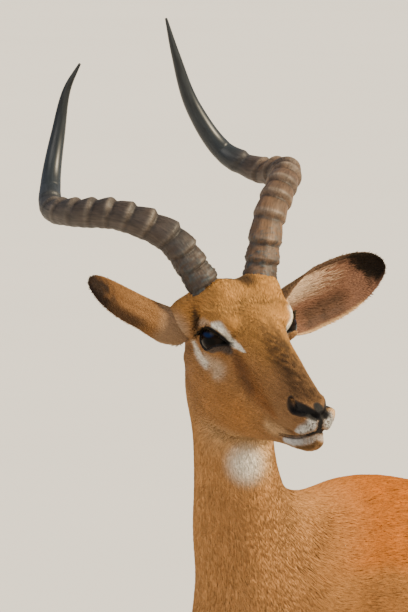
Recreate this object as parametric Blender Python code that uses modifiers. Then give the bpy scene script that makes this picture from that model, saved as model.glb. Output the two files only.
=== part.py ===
"""A life-size impala ram, standing square and looking round to its left.

It faces -Y, its own left is +X, and it stands on z = 0.  Lofts of the body's
masses are melted together as distance fields, thinned to a light mesh, and
parted into named sub-parts by thin cuts.  Points of the body are written
(x, s, z), where s is the distance forward, so y = -s.  Points of the head are
written the same way in the head's own frame: x to its left, s along the nose,
z to its crown.
"""

import math

import bmesh
import bpy
import numpy as np
import openvdb
from mathutils import Matrix, Vector

# Driving dimensions, in metres and degrees.
GAP = 0.0003
BODY_VOXEL = 0.006
HEAD_VOXEL = 0.003
# Beyond this distance from every mass, the field that melts them is level.
FIELD_REACH = 0.07

HEAD_AT = (0.085, 0.423, 1.066)
HEAD_TURN = 81.6
HEAD_BOW = 22.5
HEAD_ROLL = 8.3

# Rows of a loft: x, s, z of the centre, half width, half depth, and how far the
# front (or top) of the section is narrower than its back (or bottom).
TRUNK = (
    (0, -0.540, 0.775, 0.020, 0.022, 0.0),
    (0, -0.515, 0.778, 0.058, 0.066, 0.05),
    (0, -0.460, 0.772, 0.088, 0.112, 0.10),
    (0, -0.380, 0.765, 0.104, 0.140, 0.15),
    (0, -0.280, 0.766, 0.116, 0.142, 0.18),
    (0, -0.160, 0.739, 0.130, 0.153, 0.15),
    (0, -0.020, 0.722, 0.136, 0.165, 0.15),
    (0, 0.110, 0.713, 0.129, 0.177, 0.20),
    (0, 0.220, 0.711, 0.114, 0.184, 0.28),
    (0, 0.300, 0.690, 0.100, 0.152, 0.25),
    (0, 0.360, 0.660, 0.080, 0.112, 0.15),
    (0, 0.402, 0.635, 0.050, 0.070, 0.10),
    (0, 0.418, 0.625, 0.018, 0.030, 0.0),
)

# The neck's rows end in the turn of the section, in degrees to the left.
NECK = (
    (0, 0.220, 0.690, 0.080, 0.140, 0.20, 0),
    (0, 0.295, 0.745, 0.072, 0.122, 0.20, 3),
    (0, 0.342, 0.800, 0.059, 0.095, 0.18, 10),
    (0.002, 0.370, 0.855, 0.053, 0.077, 0.15, 24),
    (0.005, 0.385, 0.910, 0.049, 0.065, 0.12, 42),
    (0.004, 0.394, 0.970, 0.046, 0.059, 0.10, 60),
    (0.000, 0.402, 1.020, 0.043, 0.054, 0.08, 74),
    (0.006, 0.410, 1.050, 0.038, 0.044, 0.05, 80),
)

FORE_LEG = (
    (0.042, 0.215, 0.835, 0.022, 0.040, 0.0),
    (0.062, 0.250, 0.760, 0.034, 0.068, 0.0),
    (0.077, 0.278, 0.680, 0.039, 0.086, 0.0),
    (0.082, 0.270, 0.600, 0.037, 0.078, 0.0),
    (0.083, 0.262, 0.540, 0.033, 0.058, 0.0),
    (0.080, 0.268, 0.480, 0.0265, 0.040, 0.1),
    (0.077, 0.276, 0.410, 0.0215, 0.0295, 0.1),
    (0.074, 0.282, 0.350, 0.0195, 0.0235, 0.0),
    (0.073, 0.286, 0.312, 0.0220, 0.0255, 0.0),
    (0.072, 0.283, 0.272, 0.0165, 0.0200, 0.0),
    (0.071, 0.281, 0.200, 0.0135, 0.0160, 0.1),
    (0.070, 0.281, 0.140, 0.0140, 0.0170, 0.0),
    (0.070, 0.284, 0.105, 0.0185, 0.0215, 0.0),
    (0.070, 0.296, 0.074, 0.0160, 0.0175, 0.0),
    (0.070, 0.307, 0.045, 0.0200, 0.0215, 0.0),
    (0.070, 0.313, 0.028, 0.0210, 0.0240, 0.0),
)

HIND_LEG = (
    (0.045, -0.370, 0.840, 0.026, 0.060, 0.0),
    (0.064, -0.385, 0.770, 0.042, 0.105, 0.0),
    (0.080, -0.372, 0.680, 0.047, 0.126, 0.05),
    (0.086, -0.345, 0.600, 0.042, 0.105, 0.10),
    (0.083, -0.340, 0.535, 0.031, 0.073, 0.15),
    (0.079, -0.375, 0.470, 0.0235, 0.050, 0.10),
    (0.075, -0.430, 0.405, 0.0185, 0.034, 0.10),
    (0.073, -0.476, 0.358, 0.0175, 0.030, 0.0),
    (0.072, -0.494, 0.322, 0.0195, 0.029, 0.0),
    (0.071, -0.487, 0.280, 0.0155, 0.0215, 0.0),
    (0.070, -0.477, 0.205, 0.0135, 0.0165, 0.1),
    (0.070, -0.466, 0.140, 0.0140, 0.0175, 0.0),
    (0.070, -0.457, 0.105, 0.0185, 0.0215, 0.0),
    (0.070, -0.441, 0.074, 0.0160, 0.0175, 0.0),
    (0.070, -0.429, 0.045, 0.0200, 0.0215, 0.0),
    (0.070, -0.423, 0.028, 0.0210, 0.0240, 0.0),
)

# How far forward each foot stands of the table's, in a square but easy stance.
STEPS = {
    "front_left": 0.012,
    "front_right": -0.020,
    "hind_left": -0.025,
    "hind_right": 0.030,
}

TAIL = (
    (0, -0.480, 0.825, 0.024, 0.018, 0.0),
    (0, -0.535, 0.835, 0.023, 0.018, 0.0),
    (0, -0.568, 0.795, 0.022, 0.016, 0.0),
    (0, -0.577, 0.730, 0.021, 0.014, 0.0),
    (0, -0.574, 0.650, 0.021, 0.013, 0.0),
    (0, -0.570, 0.590, 0.018, 0.011, 0.0),
    (0, -0.568, 0.560, 0.008, 0.006, 0.0),
)

# Lofted masses of the head, in the head's frame.
UPPER_HEAD = (
    (0, -0.118, -0.010, 0.020, 0.022, 0.0),
    (0, -0.100, -0.006, 0.038, 0.041, 0.10),
    (0, -0.062, -0.003, 0.048, 0.057, 0.22),
    (0, -0.025, -0.005, 0.049, 0.060, 0.22),
    (0, 0.012, -0.009, 0.041, 0.057, 0.20),
    (0, 0.035, -0.011, 0.036, 0.051, 0.19),
    (0, 0.062, -0.012, 0.032, 0.0445, 0.18),
    (0, 0.100, -0.014, 0.0275, 0.035, 0.15),
    (0, 0.134, -0.016, 0.0250, 0.0275, 0.12),
    (0, 0.155, -0.018, 0.0235, 0.0235, 0.08),
    (0, 0.166, -0.020, 0.0170, 0.0165, 0.0),
    (0, 0.170, -0.021, 0.0070, 0.0070, 0.0),
)
LOWER_JAW = (
    (0, -0.070, -0.060, 0.030, 0.030, 0.0),
    (0, -0.040, -0.066, 0.040, 0.046, -0.10),
    (0, 0.000, -0.067, 0.041, 0.046, 0.0),
    (0, 0.035, -0.065, 0.036, 0.037, 0.10),
    (0, 0.070, -0.063, 0.0265, 0.024, 0.10),
    (0, 0.110, -0.058, 0.0190, 0.0145, 0.10),
    (0, 0.140, -0.052, 0.0165, 0.0115, 0.10),
    (0, 0.157, -0.047, 0.0120, 0.0085, 0.0),
    (0, 0.163, -0.045, 0.0050, 0.0040, 0.0),
)

# Rounded masses on both sides of the head: the left one's centre, then its radii.
SIDE_MASSES = {
    "cheek": ((0.025, -0.008, -0.056), (0.021, 0.050, 0.042)),
    "orbit": ((0.0360, -0.022, 0.008), (0.0200, 0.028, 0.028)),
    "brow": ((0.0360, -0.014, 0.036), (0.0160, 0.026, 0.012)),
    "pedicle": ((0.034, -0.056, 0.040), (0.021, 0.023, 0.021)),
    "nostril_wing": ((0.0155, 0.150, -0.008), (0.0105, 0.017, 0.013)),
}
EAR_ROOTS = {
    "left": ((0.052, -0.070, 0.006), (0.030, 0.022, 0.025)),
    "right": ((-0.050, -0.070, 0.014), (0.028, 0.022, 0.026)),
}

# How widely each mass melts into those before it.  The eye's hollow is carved out.
BLENDS = {
    "trunk": 0.010,
    "neck": 0.045,
    "leg": 0.040,
    "upper_head": 0.030,
    "lower_jaw": 0.014,
    "cheek": 0.020,
    "orbit": 0.012,
    "brow": 0.010,
    "pedicle": 0.012,
    "nostril_wing": 0.008,
    "ear_root": 0.018,
    "eye_hollow": -0.008,
}

EYE_RADIUS = 0.0185
EYE_CENTRE = (0.0425, -0.0140, 0.0125)
EYE_AIM = (0.84, 0.50, 0.15)
EYE_SEGMENTS = 14
# The hollow round each eye: how far out it lies along the eye's aim, and its radius.
HOLLOW_OUT = 0.0315
HOLLOW_RADIUS = 0.0235

# The ears turn on their own: the left opens forward, the right is turned back.
EAR_LENGTH = 0.165
# The shares of that length that lie behind the base point, and over which the
# rolled root opens into a leaf.
EAR_ROOTED = 0.19
EAR_OPENED = 0.45
# Half the angle that the wall wraps round at the root and in the leaf, and how far
# the wall's middle shifts back as it opens, in radii.
EAR_ROOT_ANGLE = 150
EAR_LEAF_ANGLE = 50
EAR_CUP = 0.6
EAR_HALF_WIDTHS = {"left": 0.034, "right": 0.029}
# The leaf's width at its root and its very tip, as shares of the widest, and where
# along the ear it is widest.
EAR_ROOT_WIDTH = 0.52
EAR_TIP_WIDTH = 0.02
EAR_WIDEST = 0.48
EAR_THICKNESS = 0.0028
EAR_BEND = 0.006
EAR_ROWS = 12
EAR_COLUMNS = 7
EAR_BASES = {"left": (0.085, -0.066, 0.003), "right": (-0.083, -0.071, 0.014)}
EAR_AIMS = {"left": (0.97, -0.20, 0.14), "right": (-0.81, 0.10, 0.57)}
EAR_OPENINGS = {"left": (0.15, 0.95, 0.15), "right": (-0.51, -0.56, -0.64)}

HORN_RINGS = 54
HORN_SIDES = 8
HORN_RADIUS = 0.0185
HORN_TAPER = 0.92
HORN_TAPER_POWER = 2.6
HORN_RIDGES = 13
RIDGED_SHARE = 0.60
RIDGE_HEIGHT = 0.0034
# The share of a ridge's height that is cut in below the horn's own radius.
RIDGE_SUNK = 0.4
RIDGE_CROWDING = 0.85
RIDGE_FADE = 0.3
LEFT_HORN = (
    (0.024, -0.044, 0.032),
    (0.041, -0.069, 0.068),
    (0.064, -0.101, 0.104),
    (0.104, -0.148, 0.119),
    (0.141, -0.205, 0.105),
    (0.141, -0.262, 0.080),
    (0.118, -0.312, 0.084),
    (0.092, -0.350, 0.130),
    (0.074, -0.372, 0.195),
    (0.063, -0.381, 0.240),
)
RIGHT_HORN = (
    (-0.027, -0.044, 0.032),
    (-0.043, -0.070, 0.068),
    (-0.063, -0.100, 0.103),
    (-0.101, -0.146, 0.117),
    (-0.137, -0.213, 0.097),
    (-0.137, -0.263, 0.079),
    (-0.115, -0.312, 0.086),
    (-0.089, -0.350, 0.128),
    (-0.073, -0.363, 0.180),
    (-0.063, -0.355, 0.213),
)

# Where the head is parted from the neck (in the head's frame) and the neck from
# the trunk: a point under the throat and one on the nape.
HEAD_CUT = ((0, 0.030, -0.128), (0, -0.130, -0.085))
NECK_CUT = ((0, 0.440, 0.600), (0, 0.235, 0.890))

FAWN = (0.46, 0.22, 0.085)
HORN_GREY = (0.085, 0.080, 0.078)
EYE_BLACK = (0.010, 0.009, 0.009)
HOOF_BLACK = (0.020, 0.018, 0.017)

# Boxes round the head and round the whole of the flesh: low and high corners.
HEAD_BOX = ((-0.12, -0.56, 0.88), (0.29, -0.28, 1.18))
BODY_BOX = ((-0.20, -0.50, 0.00), (0.29, 0.62, 1.18))
HEAD_TRIANGLES = 1800
BODY_TRIANGLES = 3200

# The top of each leg: its height at x = 0 and s = 0, its rise with x and with s.
LEG_TOPS = {"front": (0.490, 1.45, 0.0), "hind": (0.360, 1.30, -0.35)}
# The wedge that parts a leg off: its front and back ends, its sides and its foot.
WEDGE_ENDS = {"front": (0.10, 0.50), "hind": (-0.62, -0.12)}
WEDGE_INNER = 0.008
WEDGE_OUTER = 0.25
WEDGE_FOOT = -0.02

HOOF_HEIGHT = 0.040
HOOF_SPREAD = 0.0123
CLAW_SEGMENTS = 12
CLAW_HALF_WIDTH = 0.0108
CLAW_HALF_LENGTH = 0.0285
CLAW_RAKE = 0.010
# The claw's level top against its sole, and how far its toe draws in at each.
CLAW_TOP_WIDTH = 0.85
CLAW_TOP_LENGTH = 0.70
TOE_IN_TOP = 0.15
TOE_IN_SOLE = 0.55


def material(name, colour, roughness, metallic=0.0):
    made = bpy.data.materials.new(name)
    made.use_nodes = True
    surface = made.node_tree.nodes["Principled BSDF"]
    surface.inputs["Base Color"].default_value = (*colour, 1.0)
    surface.inputs["Roughness"].default_value = roughness
    surface.inputs["Metallic"].default_value = metallic
    return made


def body_point(point):
    """(x, s, z) as a world vector."""
    return Vector((point[0], -point[1], point[2]))


def head_matrix():
    """The head's frame in the world: rolled, bowed, turned, then moved."""
    turn = Matrix.Rotation(math.radians(HEAD_TURN), 4, "Z")
    bow = Matrix.Rotation(math.radians(HEAD_BOW), 4, "X")
    roll = Matrix.Rotation(math.radians(-HEAD_ROLL), 4, "Y")
    return Matrix.Translation(body_point(HEAD_AT)) @ turn @ bow @ roll


def in_world(points):
    """Points (x, s, z) of the head's frame as world points."""
    frame = np.array(head_matrix())
    return np.array(points) * (1, -1, 1) @ frame[:3, :3].T + frame[:3, 3]


def unit(vector):
    vector = np.array(vector, float)
    return vector / np.linalg.norm(vector, axis=-1, keepdims=True)


def through(rows, count):
    """Evenly spaced rows of a smooth curve through the given rows."""
    rows = np.array(rows, float)
    steps = np.linalg.norm(np.diff(rows[:, :3], axis=0), axis=1)
    along = np.concatenate([[0.0], np.cumsum(steps)])
    slopes = np.gradient(rows, along, axis=0)
    at = np.linspace(0.0, along[-1], count)
    i = np.clip(np.searchsorted(along, at, side="right") - 1, 0, len(rows) - 2)
    length = (along[i + 1] - along[i])[:, None]
    t = ((at - along[i]) / length[:, 0])[:, None]
    start = rows[i] * (1 + 2 * t) * (1 - t) ** 2 + slopes[i] * length * t * (1 - t) ** 2
    end = rows[i + 1] * t**2 * (3 - 2 * t) + slopes[i + 1] * length * t**2 * (t - 1)
    return start + end


def frames_along(centres, sides):
    """The side and front directions of a section at each centre."""
    tangents = np.gradient(centres, axis=0)
    tangents /= np.linalg.norm(tangents, axis=1, keepdims=True)
    fronts = np.cross(tangents, sides)
    fronts /= np.linalg.norm(fronts, axis=1, keepdims=True)
    return np.cross(fronts, tangents), fronts


def tube_faces(rings, sides):
    """Quads between neighbouring rings, and fans over the two ends."""
    quads = []
    for ring in range(rings - 1):
        for side in range(sides):
            a = ring * sides + side
            b = ring * sides + (side + 1) % sides
            quads.append((a, b, b + sides, a + sides))
    first = rings * sides
    last = (rings - 1) * sides
    caps = []
    for side in range(sides):
        following = (side + 1) % sides
        caps.append((first, following, side))
        caps.append((first + 1, last + side, last + following))
    return quads, caps


def loft(rows, rings, sides, square=0.9, matrix=None):
    """A closed tube through the rows, as (points, quads, triangles)."""
    smooth = through(rows, rings)
    centres = smooth[:, :3] * (1, -1, 1)
    turn = np.radians(smooth[:, 6]) if smooth.shape[1] > 6 else np.zeros(rings)
    across = np.stack([np.cos(turn), np.sin(turn), 0 * turn], axis=1)
    side_axes, front_axes = frames_along(centres, across)
    angle = np.arange(sides) * 2 * np.pi / sides
    sine = np.sign(np.sin(angle)) * np.abs(np.sin(angle)) ** square
    cosine = np.sign(np.cos(angle)) * np.abs(np.cos(angle)) ** square
    half_width, half_depth, taper = smooth[:, 3:6].T[:, :, None]
    sideways = half_width * sine * (1 - taper * np.cos(angle))
    points = centres[:, None] + sideways[..., None] * side_axes[:, None]
    points = points + (half_depth * cosine)[..., None] * front_axes[:, None]
    points = np.concatenate([points.reshape(-1, 3), centres[[0, -1]]])
    if matrix is not None:
        turned = np.array(matrix)
        points = points @ turned[:3, :3].T + turned[:3, 3]
    return points, *tube_faces(rings, sides)


def ball(centre, radii, side=1, segments=24):
    """An ellipsoid of the head, mirrored to its right side by side = -1."""
    shape = bmesh.new()
    bmesh.ops.create_uvsphere(
        shape, u_segments=segments, v_segments=segments // 2 + 1, radius=1.0
    )
    place = Matrix.Translation((side * centre[0], -centre[1], centre[2]))
    shape.transform(head_matrix() @ place @ Matrix.Diagonal((*radii, 1)))
    points = np.array([v.co[:] for v in shape.verts])
    quads = [[v.index for v in f.verts] for f in shape.faces if len(f.verts) == 4]
    triangles = [[v.index for v in f.verts] for f in shape.faces if len(f.verts) == 3]
    shape.free()
    return points, quads, triangles


def stepped(rows, side, step):
    """A leg's rows on one side, swung about its top so the foot moves by step."""
    top, foot = rows[0][2], rows[-1][2]
    moved = []
    for x, s, z, *size in rows:
        share = (top - z) / (top - foot)
        moved.append((side * x, s + step * share**1.5, z, *size))
    return moved


def body_masses():
    """The trunk, neck and legs, each with the width of its blend."""
    masses = [
        (loft(TRUNK, rings=60, sides=40, square=0.88), BLENDS["trunk"]),
        (loft(NECK, rings=40, sides=32), BLENDS["neck"]),
    ]
    for foot, step in STEPS.items():
        side = 1 if foot.endswith("left") else -1
        rows = FORE_LEG if foot.startswith("front") else HIND_LEG
        leg = loft(stepped(rows, side, step), rings=90, sides=20)
        masses.append((leg, BLENDS["leg"]))
    return masses


def head_masses():
    """The head's masses; the eye hollows, with a negative blend, are carved out."""
    frame = head_matrix()
    masses = [
        (loft(UPPER_HEAD, 60, 32, square=0.85, matrix=frame), BLENDS["upper_head"]),
        (loft(LOWER_JAW, 50, 28, square=0.9, matrix=frame), BLENDS["lower_jaw"]),
    ]
    for side in (1, -1):
        for name, (centre, radii) in SIDE_MASSES.items():
            masses.append((ball(centre, radii, side), BLENDS[name]))
    for root in EAR_ROOTS.values():
        masses.append((ball(*root), BLENDS["ear_root"]))
    hollow = np.array(EYE_CENTRE) + unit(EYE_AIM) * HOLLOW_OUT
    for side in (1, -1):
        masses.append((ball(hollow, (HOLLOW_RADIUS,) * 3, side), BLENDS["eye_hollow"]))
    return masses


def ear_sheet(side):
    """The middle of the ear's wall: a tube at the root that opens into a leaf."""
    aim = unit(EAR_AIMS[side])
    opening = np.array(EAR_OPENINGS[side])
    opening = unit(opening - aim * (opening @ aim))
    across = np.cross(aim, opening)
    points = []
    for t in np.linspace(0.0, 1.0, EAR_ROWS):
        opened = min(1.0, t / EAR_OPENED)
        half_width = EAR_HALF_WIDTHS[side] * ear_outline(t)
        turn_in = EAR_ROOT_ANGLE - (EAR_ROOT_ANGLE - EAR_LEAF_ANGLE) * opened**0.7
        half_angle = math.radians(turn_in)
        radius = half_width / math.sin(min(half_angle, math.pi / 2))
        middle = np.array(EAR_BASES[side]) + aim * EAR_LENGTH * (t - EAR_ROOTED)
        middle = middle - opening * EAR_BEND * math.sin(math.pi * t)
        for turn in np.linspace(-half_angle, half_angle, EAR_COLUMNS):
            back = radius * (math.cos(turn) - EAR_CUP * opened)
            points.append(middle + across * radius * math.sin(turn) - opening * back)
    faces = []
    for row in range(EAR_ROWS - 1):
        for column in range(EAR_COLUMNS - 1):
            a = row * EAR_COLUMNS + column
            faces.append((a, a + 1, a + 1 + EAR_COLUMNS, a + EAR_COLUMNS))
    return in_world(points), faces


def ear_outline(t):
    """The leaf's width a share t along the ear, as a share of its widest."""
    swell = math.sin(math.pi / 2 * min(1.0, t / EAR_WIDEST))
    rise = EAR_ROOT_WIDTH + (1 - EAR_ROOT_WIDTH) * swell
    fall = max(0.0, (t - EAR_WIDEST) / (1 - EAR_WIDEST))
    return rise * (1 - fall**2.6) ** 0.6 + EAR_TIP_WIDTH


def horn(rows):
    """A horn ringed by knobs along its lower part, thinning to its tip."""
    path = through(rows, HORN_RINGS)
    t = np.linspace(0.0, 1.0, HORN_RINGS)
    radius = HORN_RADIUS * (1 - HORN_TAPER * t**HORN_TAPER_POWER)
    ridged = np.clip(t / RIDGED_SHARE, 0, 1)
    wave = np.sin(np.pi * HORN_RIDGES * ridged**RIDGE_CROWDING) ** 2 - RIDGE_SUNK
    radius = radius + RIDGE_HEIGHT * wave * (1 - ridged) ** RIDGE_FADE
    tangents = unit(np.gradient(path, axis=0))
    fronts = unit(np.cross(tangents, np.cross((0, 1, 2), tangents)))
    sides = np.cross(fronts, tangents)
    angle = np.arange(HORN_SIDES) * 2 * np.pi / HORN_SIDES
    ring = np.cos(angle)[:, None] * fronts[:, None] + np.sin(angle)[:, None] * sides[:, None]
    points = path[:, None] + radius[:, None, None] * ring
    points = np.concatenate([points.reshape(-1, 3), path[[0, -1]]])
    return in_world(points), *tube_faces(HORN_RINGS, HORN_SIDES)


def claw(name, x, s, place):
    """Half a cloven hoof: a flat sole, a level top and a toe drawn forward."""
    shape = bmesh.new()
    bmesh.ops.create_cone(
        shape, cap_ends=True, segments=CLAW_SEGMENTS, radius1=1.0, radius2=1.0, depth=1.0
    )
    for vert in shape.verts:
        low = 0.5 - vert.co.z
        toe = max(0.0, -vert.co.y)
        half_width = CLAW_HALF_WIDTH * (CLAW_TOP_WIDTH + (1 - CLAW_TOP_WIDTH) * low)
        half_length = CLAW_HALF_LENGTH * (CLAW_TOP_LENGTH + (1 - CLAW_TOP_LENGTH) * low)
        toe_in = TOE_IN_TOP + (TOE_IN_SOLE - TOE_IN_TOP) * low
        forward = CLAW_RAKE * low - vert.co.y * half_length
        across = vert.co.x * half_width * (1 - toe_in * toe)
        vert.co = (x + across, -s - forward, HOOF_HEIGHT * (1 - low))
    made = new_object(name, [], [], place)
    shape.to_mesh(made.data)
    shape.free()
    return facing_out(made)


def melted(masses, voxel, low, high):
    """The masses joined by smooth unions between two corners, as quads."""
    first = np.floor(np.array(low) / voxel).astype(int)
    counts = np.ceil(np.array(high) / voxel).astype(int) - first
    field = np.full(counts, FIELD_REACH, np.float32)
    placing = openvdb.createLinearTransform(voxelSize=voxel)
    for (points, quads, triangles), blend in masses:
        grid = openvdb.FloatGrid.createLevelSetFromPolygons(
            points.astype(np.float32),
            triangles=np.array(triangles, np.uint32),
            quads=np.array(quads, np.uint32),
            transform=placing,
            halfWidth=(abs(blend) + 3 * voxel) / voxel,
        )
        nearby = np.empty(counts, np.float32)
        grid.copyToArray(nearby, ijk=tuple(int(i) for i in first))
        if blend < 0:
            mix = np.clip(1 + np.abs(field + nearby) / blend, 0, 1)
            field = np.maximum(field, -nearby) - mix**2 * blend / 4
        else:
            mix = np.clip(1 - np.abs(field - nearby) / blend, 0, 1)
            field = np.minimum(field, nearby) - mix**2 * blend / 4
    whole = openvdb.FloatGrid(FIELD_REACH)
    whole.copyFromArray(field, ijk=tuple(int(i) for i in first))
    whole.transform = placing
    return whole.convertToQuads(0.0)


def collection():
    made = bpy.data.collections.new("impala")
    bpy.context.scene.collection.children.link(made)
    return made


def new_object(name, points, faces, place):
    mesh = bpy.data.meshes.new(name)
    mesh.from_pydata([tuple(p) for p in points], [], [tuple(f) for f in faces])
    mesh.update()
    made = bpy.data.objects.new(name, mesh)
    place.objects.link(made)
    return made


def solid(name, shape, place):
    points, quads, triangles = shape
    return facing_out(new_object(name, points, quads + triangles, place))


def facing_out(obj):
    """Welds the object's mesh and turns its faces outward."""
    shape = bmesh.new()
    shape.from_mesh(obj.data)
    bmesh.ops.remove_doubles(shape, verts=shape.verts, dist=1e-6)
    bmesh.ops.recalc_face_normals(shape, faces=shape.faces)
    if shape.calc_volume(signed=True) < 0:
        bmesh.ops.reverse_faces(shape, faces=shape.faces)
    shape.to_mesh(obj.data)
    shape.free()
    return obj


def baked(obj):
    """Replaces the object's mesh with what its modifiers make of it."""
    graph = bpy.context.evaluated_depsgraph_get()
    mesh = bpy.data.meshes.new_from_object(obj.evaluated_get(graph))
    obj.modifiers.clear()
    obj.data = mesh
    return obj


def thinned(obj, triangles):
    """Collapses the mesh to about this many triangles."""
    obj.data.calc_loop_triangles()
    thin = obj.modifiers.new("thin", "DECIMATE")
    thin.ratio = triangles / len(obj.data.loop_triangles)
    thin.use_collapse_triangulate = True
    return baked(obj)


def boolean(obj, other, operation):
    cut = obj.modifiers.new(operation.lower(), "BOOLEAN")
    cut.operation = operation
    cut.solver = "EXACT"
    cut.object = other
    return baked(obj)


def sliced(obj, point, normal):
    """Keeps the part of the object on the normal's side of a plane, capped."""
    shape = bmesh.new()
    shape.from_mesh(obj.data)
    everything = shape.verts[:] + shape.edges[:] + shape.faces[:]
    bmesh.ops.bisect_plane(
        shape, geom=everything, plane_co=point, plane_no=normal, clear_inner=True
    )
    rim = [e for e in shape.edges if e.is_boundary]
    bmesh.ops.holes_fill(shape, edges=rim, sides=0)
    bmesh.ops.triangulate(shape, faces=[f for f in shape.faces if len(f.verts) > 4])
    bmesh.ops.recalc_face_normals(shape, faces=shape.faces)
    shape.to_mesh(obj.data)
    shape.free()
    return obj


def swollen(obj, name, distance):
    """A copy of the object grown outward, to cut a neighbour clear of it."""
    copy = obj.copy()
    copy.data = obj.data.copy()
    copy.name = name
    bpy.context.scene.collection.objects.link(copy)
    normals = np.array([v.normal[:] for v in copy.data.vertices])
    points = np.array([v.co[:] for v in copy.data.vertices])
    copy.data.vertices.foreach_set("co", (points + normals * distance).ravel())
    copy.data.update()
    return copy


def leg_wedge(foot, grown):
    """The space below a leg's sloping top, raised by the gap when grown."""
    side = 1 if foot.endswith("left") else -1
    height, rise_x, rise_s = LEG_TOPS[foot.split("_")[0]]
    near, far = WEDGE_ENDS[foot.split("_")[0]]
    shape = bmesh.new()
    bmesh.ops.create_cube(shape, size=1.0)
    for vert in shape.verts:
        x = WEDGE_INNER - grown if vert.co.x < 0 else WEDGE_OUTER
        s = near if vert.co.y > 0 else far
        top = height + rise_x * x + rise_s * s + grown
        vert.co = (side * x, -s, top if vert.co.z > 0 else WEDGE_FOOT)
    made = new_object("wedge", [], [], bpy.context.scene.collection)
    shape.to_mesh(made.data)
    shape.free()
    return facing_out(made)


def parted(obj, cutter, wider, name):
    """Splits what lies in the cutter off the object as a new one, with a gap."""
    piece = obj.copy()
    piece.data = obj.data.copy()
    piece.name = name
    obj.users_collection[0].objects.link(piece)
    boolean(piece, cutter, "INTERSECT")
    boolean(obj, wider, "DIFFERENCE")
    bpy.data.objects.remove(cutter)
    bpy.data.objects.remove(wider)
    return piece


def cleared(obj, neighbour):
    """Cuts the object back to a gap from its neighbour."""
    copy = swollen(neighbour, "cutter", GAP)
    boolean(obj, copy, "DIFFERENCE")
    bpy.data.objects.remove(copy)
    return obj


def cut_plane(two_points, in_head):
    """A point and normal of the plane through two points, level from side to side."""
    rear_up = np.subtract(two_points[1], two_points[0])
    normal = unit((0, rear_up[2], -rear_up[1]))
    if in_head:
        ends = in_world([two_points[0], two_points[0] + normal])
    else:
        ends = np.array([two_points[0], two_points[0] + normal]) * (1, -1, 1)
    return Vector(ends[0]), Vector(ends[1] - ends[0])


def flesh(place):
    """Head, neck, trunk and legs, melted whole and then parted."""
    masses = body_masses() + head_masses()
    points, quads = melted(masses, HEAD_VOXEL, *HEAD_BOX)
    head = thinned(facing_out(new_object("head", points, quads, place)), HEAD_TRIANGLES)
    points, quads = melted(masses, BODY_VOXEL, *BODY_BOX)
    trunk = thinned(facing_out(new_object("trunk", points, quads, place)), BODY_TRIANGLES)
    point, normal = cut_plane(HEAD_CUT, True)
    sliced(head, point + normal * GAP, normal)
    sliced(trunk, point, -normal)
    neck = trunk.copy()
    neck.data = trunk.data.copy()
    neck.name = "neck"
    place.objects.link(neck)
    point, normal = cut_plane(NECK_CUT, False)
    sliced(neck, point + normal * GAP, normal)
    sliced(trunk, point, -normal)
    for foot in STEPS:
        leg = parted(trunk, leg_wedge(foot, 0.0), leg_wedge(foot, GAP), "leg_" + foot)
        sliced(leg, Vector((0, 0, HOOF_HEIGHT + GAP)), Vector((0, 0, 1)))
    return head, trunk


def eyes(place, head):
    for side, sign in (("left", 1), ("right", -1)):
        radii = (EYE_RADIUS,) * 3
        shape = ball(EYE_CENTRE, radii, sign, EYE_SEGMENTS)
        eye = solid("eye_" + side, shape, place)
        cleared(head, eye)


def ears(place, head):
    for side in ("left", "right"):
        ear = new_object("ear_" + side, *ear_sheet(side), place)
        wall = ear.modifiers.new("wall", "SOLIDIFY")
        wall.thickness = EAR_THICKNESS
        wall.offset = 0
        cleared(facing_out(baked(ear)), head)


def horns(place, head):
    for side, rows in (("left", LEFT_HORN), ("right", RIGHT_HORN)):
        cleared(solid("horn_" + side, horn(rows), place), head)


def tail(place, trunk):
    cleared(solid("tail", loft(TAIL, rings=18, sides=10), place), trunk)


def hooves(place):
    for foot, step in STEPS.items():
        side = 1 if foot.endswith("left") else -1
        x, s = (FORE_LEG if foot.startswith("front") else HIND_LEG)[-2][:2]
        for part, shift in (("inner", -HOOF_SPREAD), ("outer", HOOF_SPREAD)):
            claw(f"hoof_{foot}_{part}", side * (x + shift), s + step, place)


def painted():
    """Gives every node the material of its kind."""
    coat = material("coat", FAWN, 0.85)
    kinds = {
        "horn": material("horn", HORN_GREY, 0.45),
        "eye": material("eye", EYE_BLACK, 0.06),
        "hoof": material("hoof", HOOF_BLACK, 0.40),
    }
    for obj in bpy.data.objects:
        kind = obj.name.split("_")[0]
        obj.data.materials.clear()
        obj.data.materials.append(kinds.get(kind, coat))


def centred():
    """Moves the model so that the middle of its box stands at the origin."""
    corners = [v.co for obj in bpy.data.objects for v in obj.data.vertices]
    low, high = np.min(corners, axis=0), np.max(corners, axis=0)
    shift = Matrix.Translation((-(low[0] + high[0]) / 2, -(low[1] + high[1]) / 2, -low[2]))
    for obj in bpy.data.objects:
        obj.data.transform(shift)


def main():
    for obj in list(bpy.data.objects):
        bpy.data.objects.remove(obj)
    place = collection()
    head, trunk = flesh(place)
    eyes(place, head)
    ears(place, head)
    horns(place, head)
    hooves(place)
    tail(place, trunk)
    painted()
    centred()


main()
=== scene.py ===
"""The looks of the life-size impala ram: skin, coat, horns, eyes and hooves.

One skin is melted from the same masses as the CAD solids, drawn in by the coat's
depth, and given eyelids, nostrils, a mouth and hints of bone and muscle.  Tufts of
hair are planted on it, lying the way an impala's coat lies, and skin and tufts take
their colours from one painter.  Points of the body are written (x, s, z), where s is
the distance forward, so y = -s; points of the head are written the same way in the
head's own frame: x to its left, s along the nose, z to its crown.
"""

import math

import bmesh
import bpy
import numpy as np
import openvdb
from mathutils import Matrix, Vector
from mathutils.bvhtree import BVHTree


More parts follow.
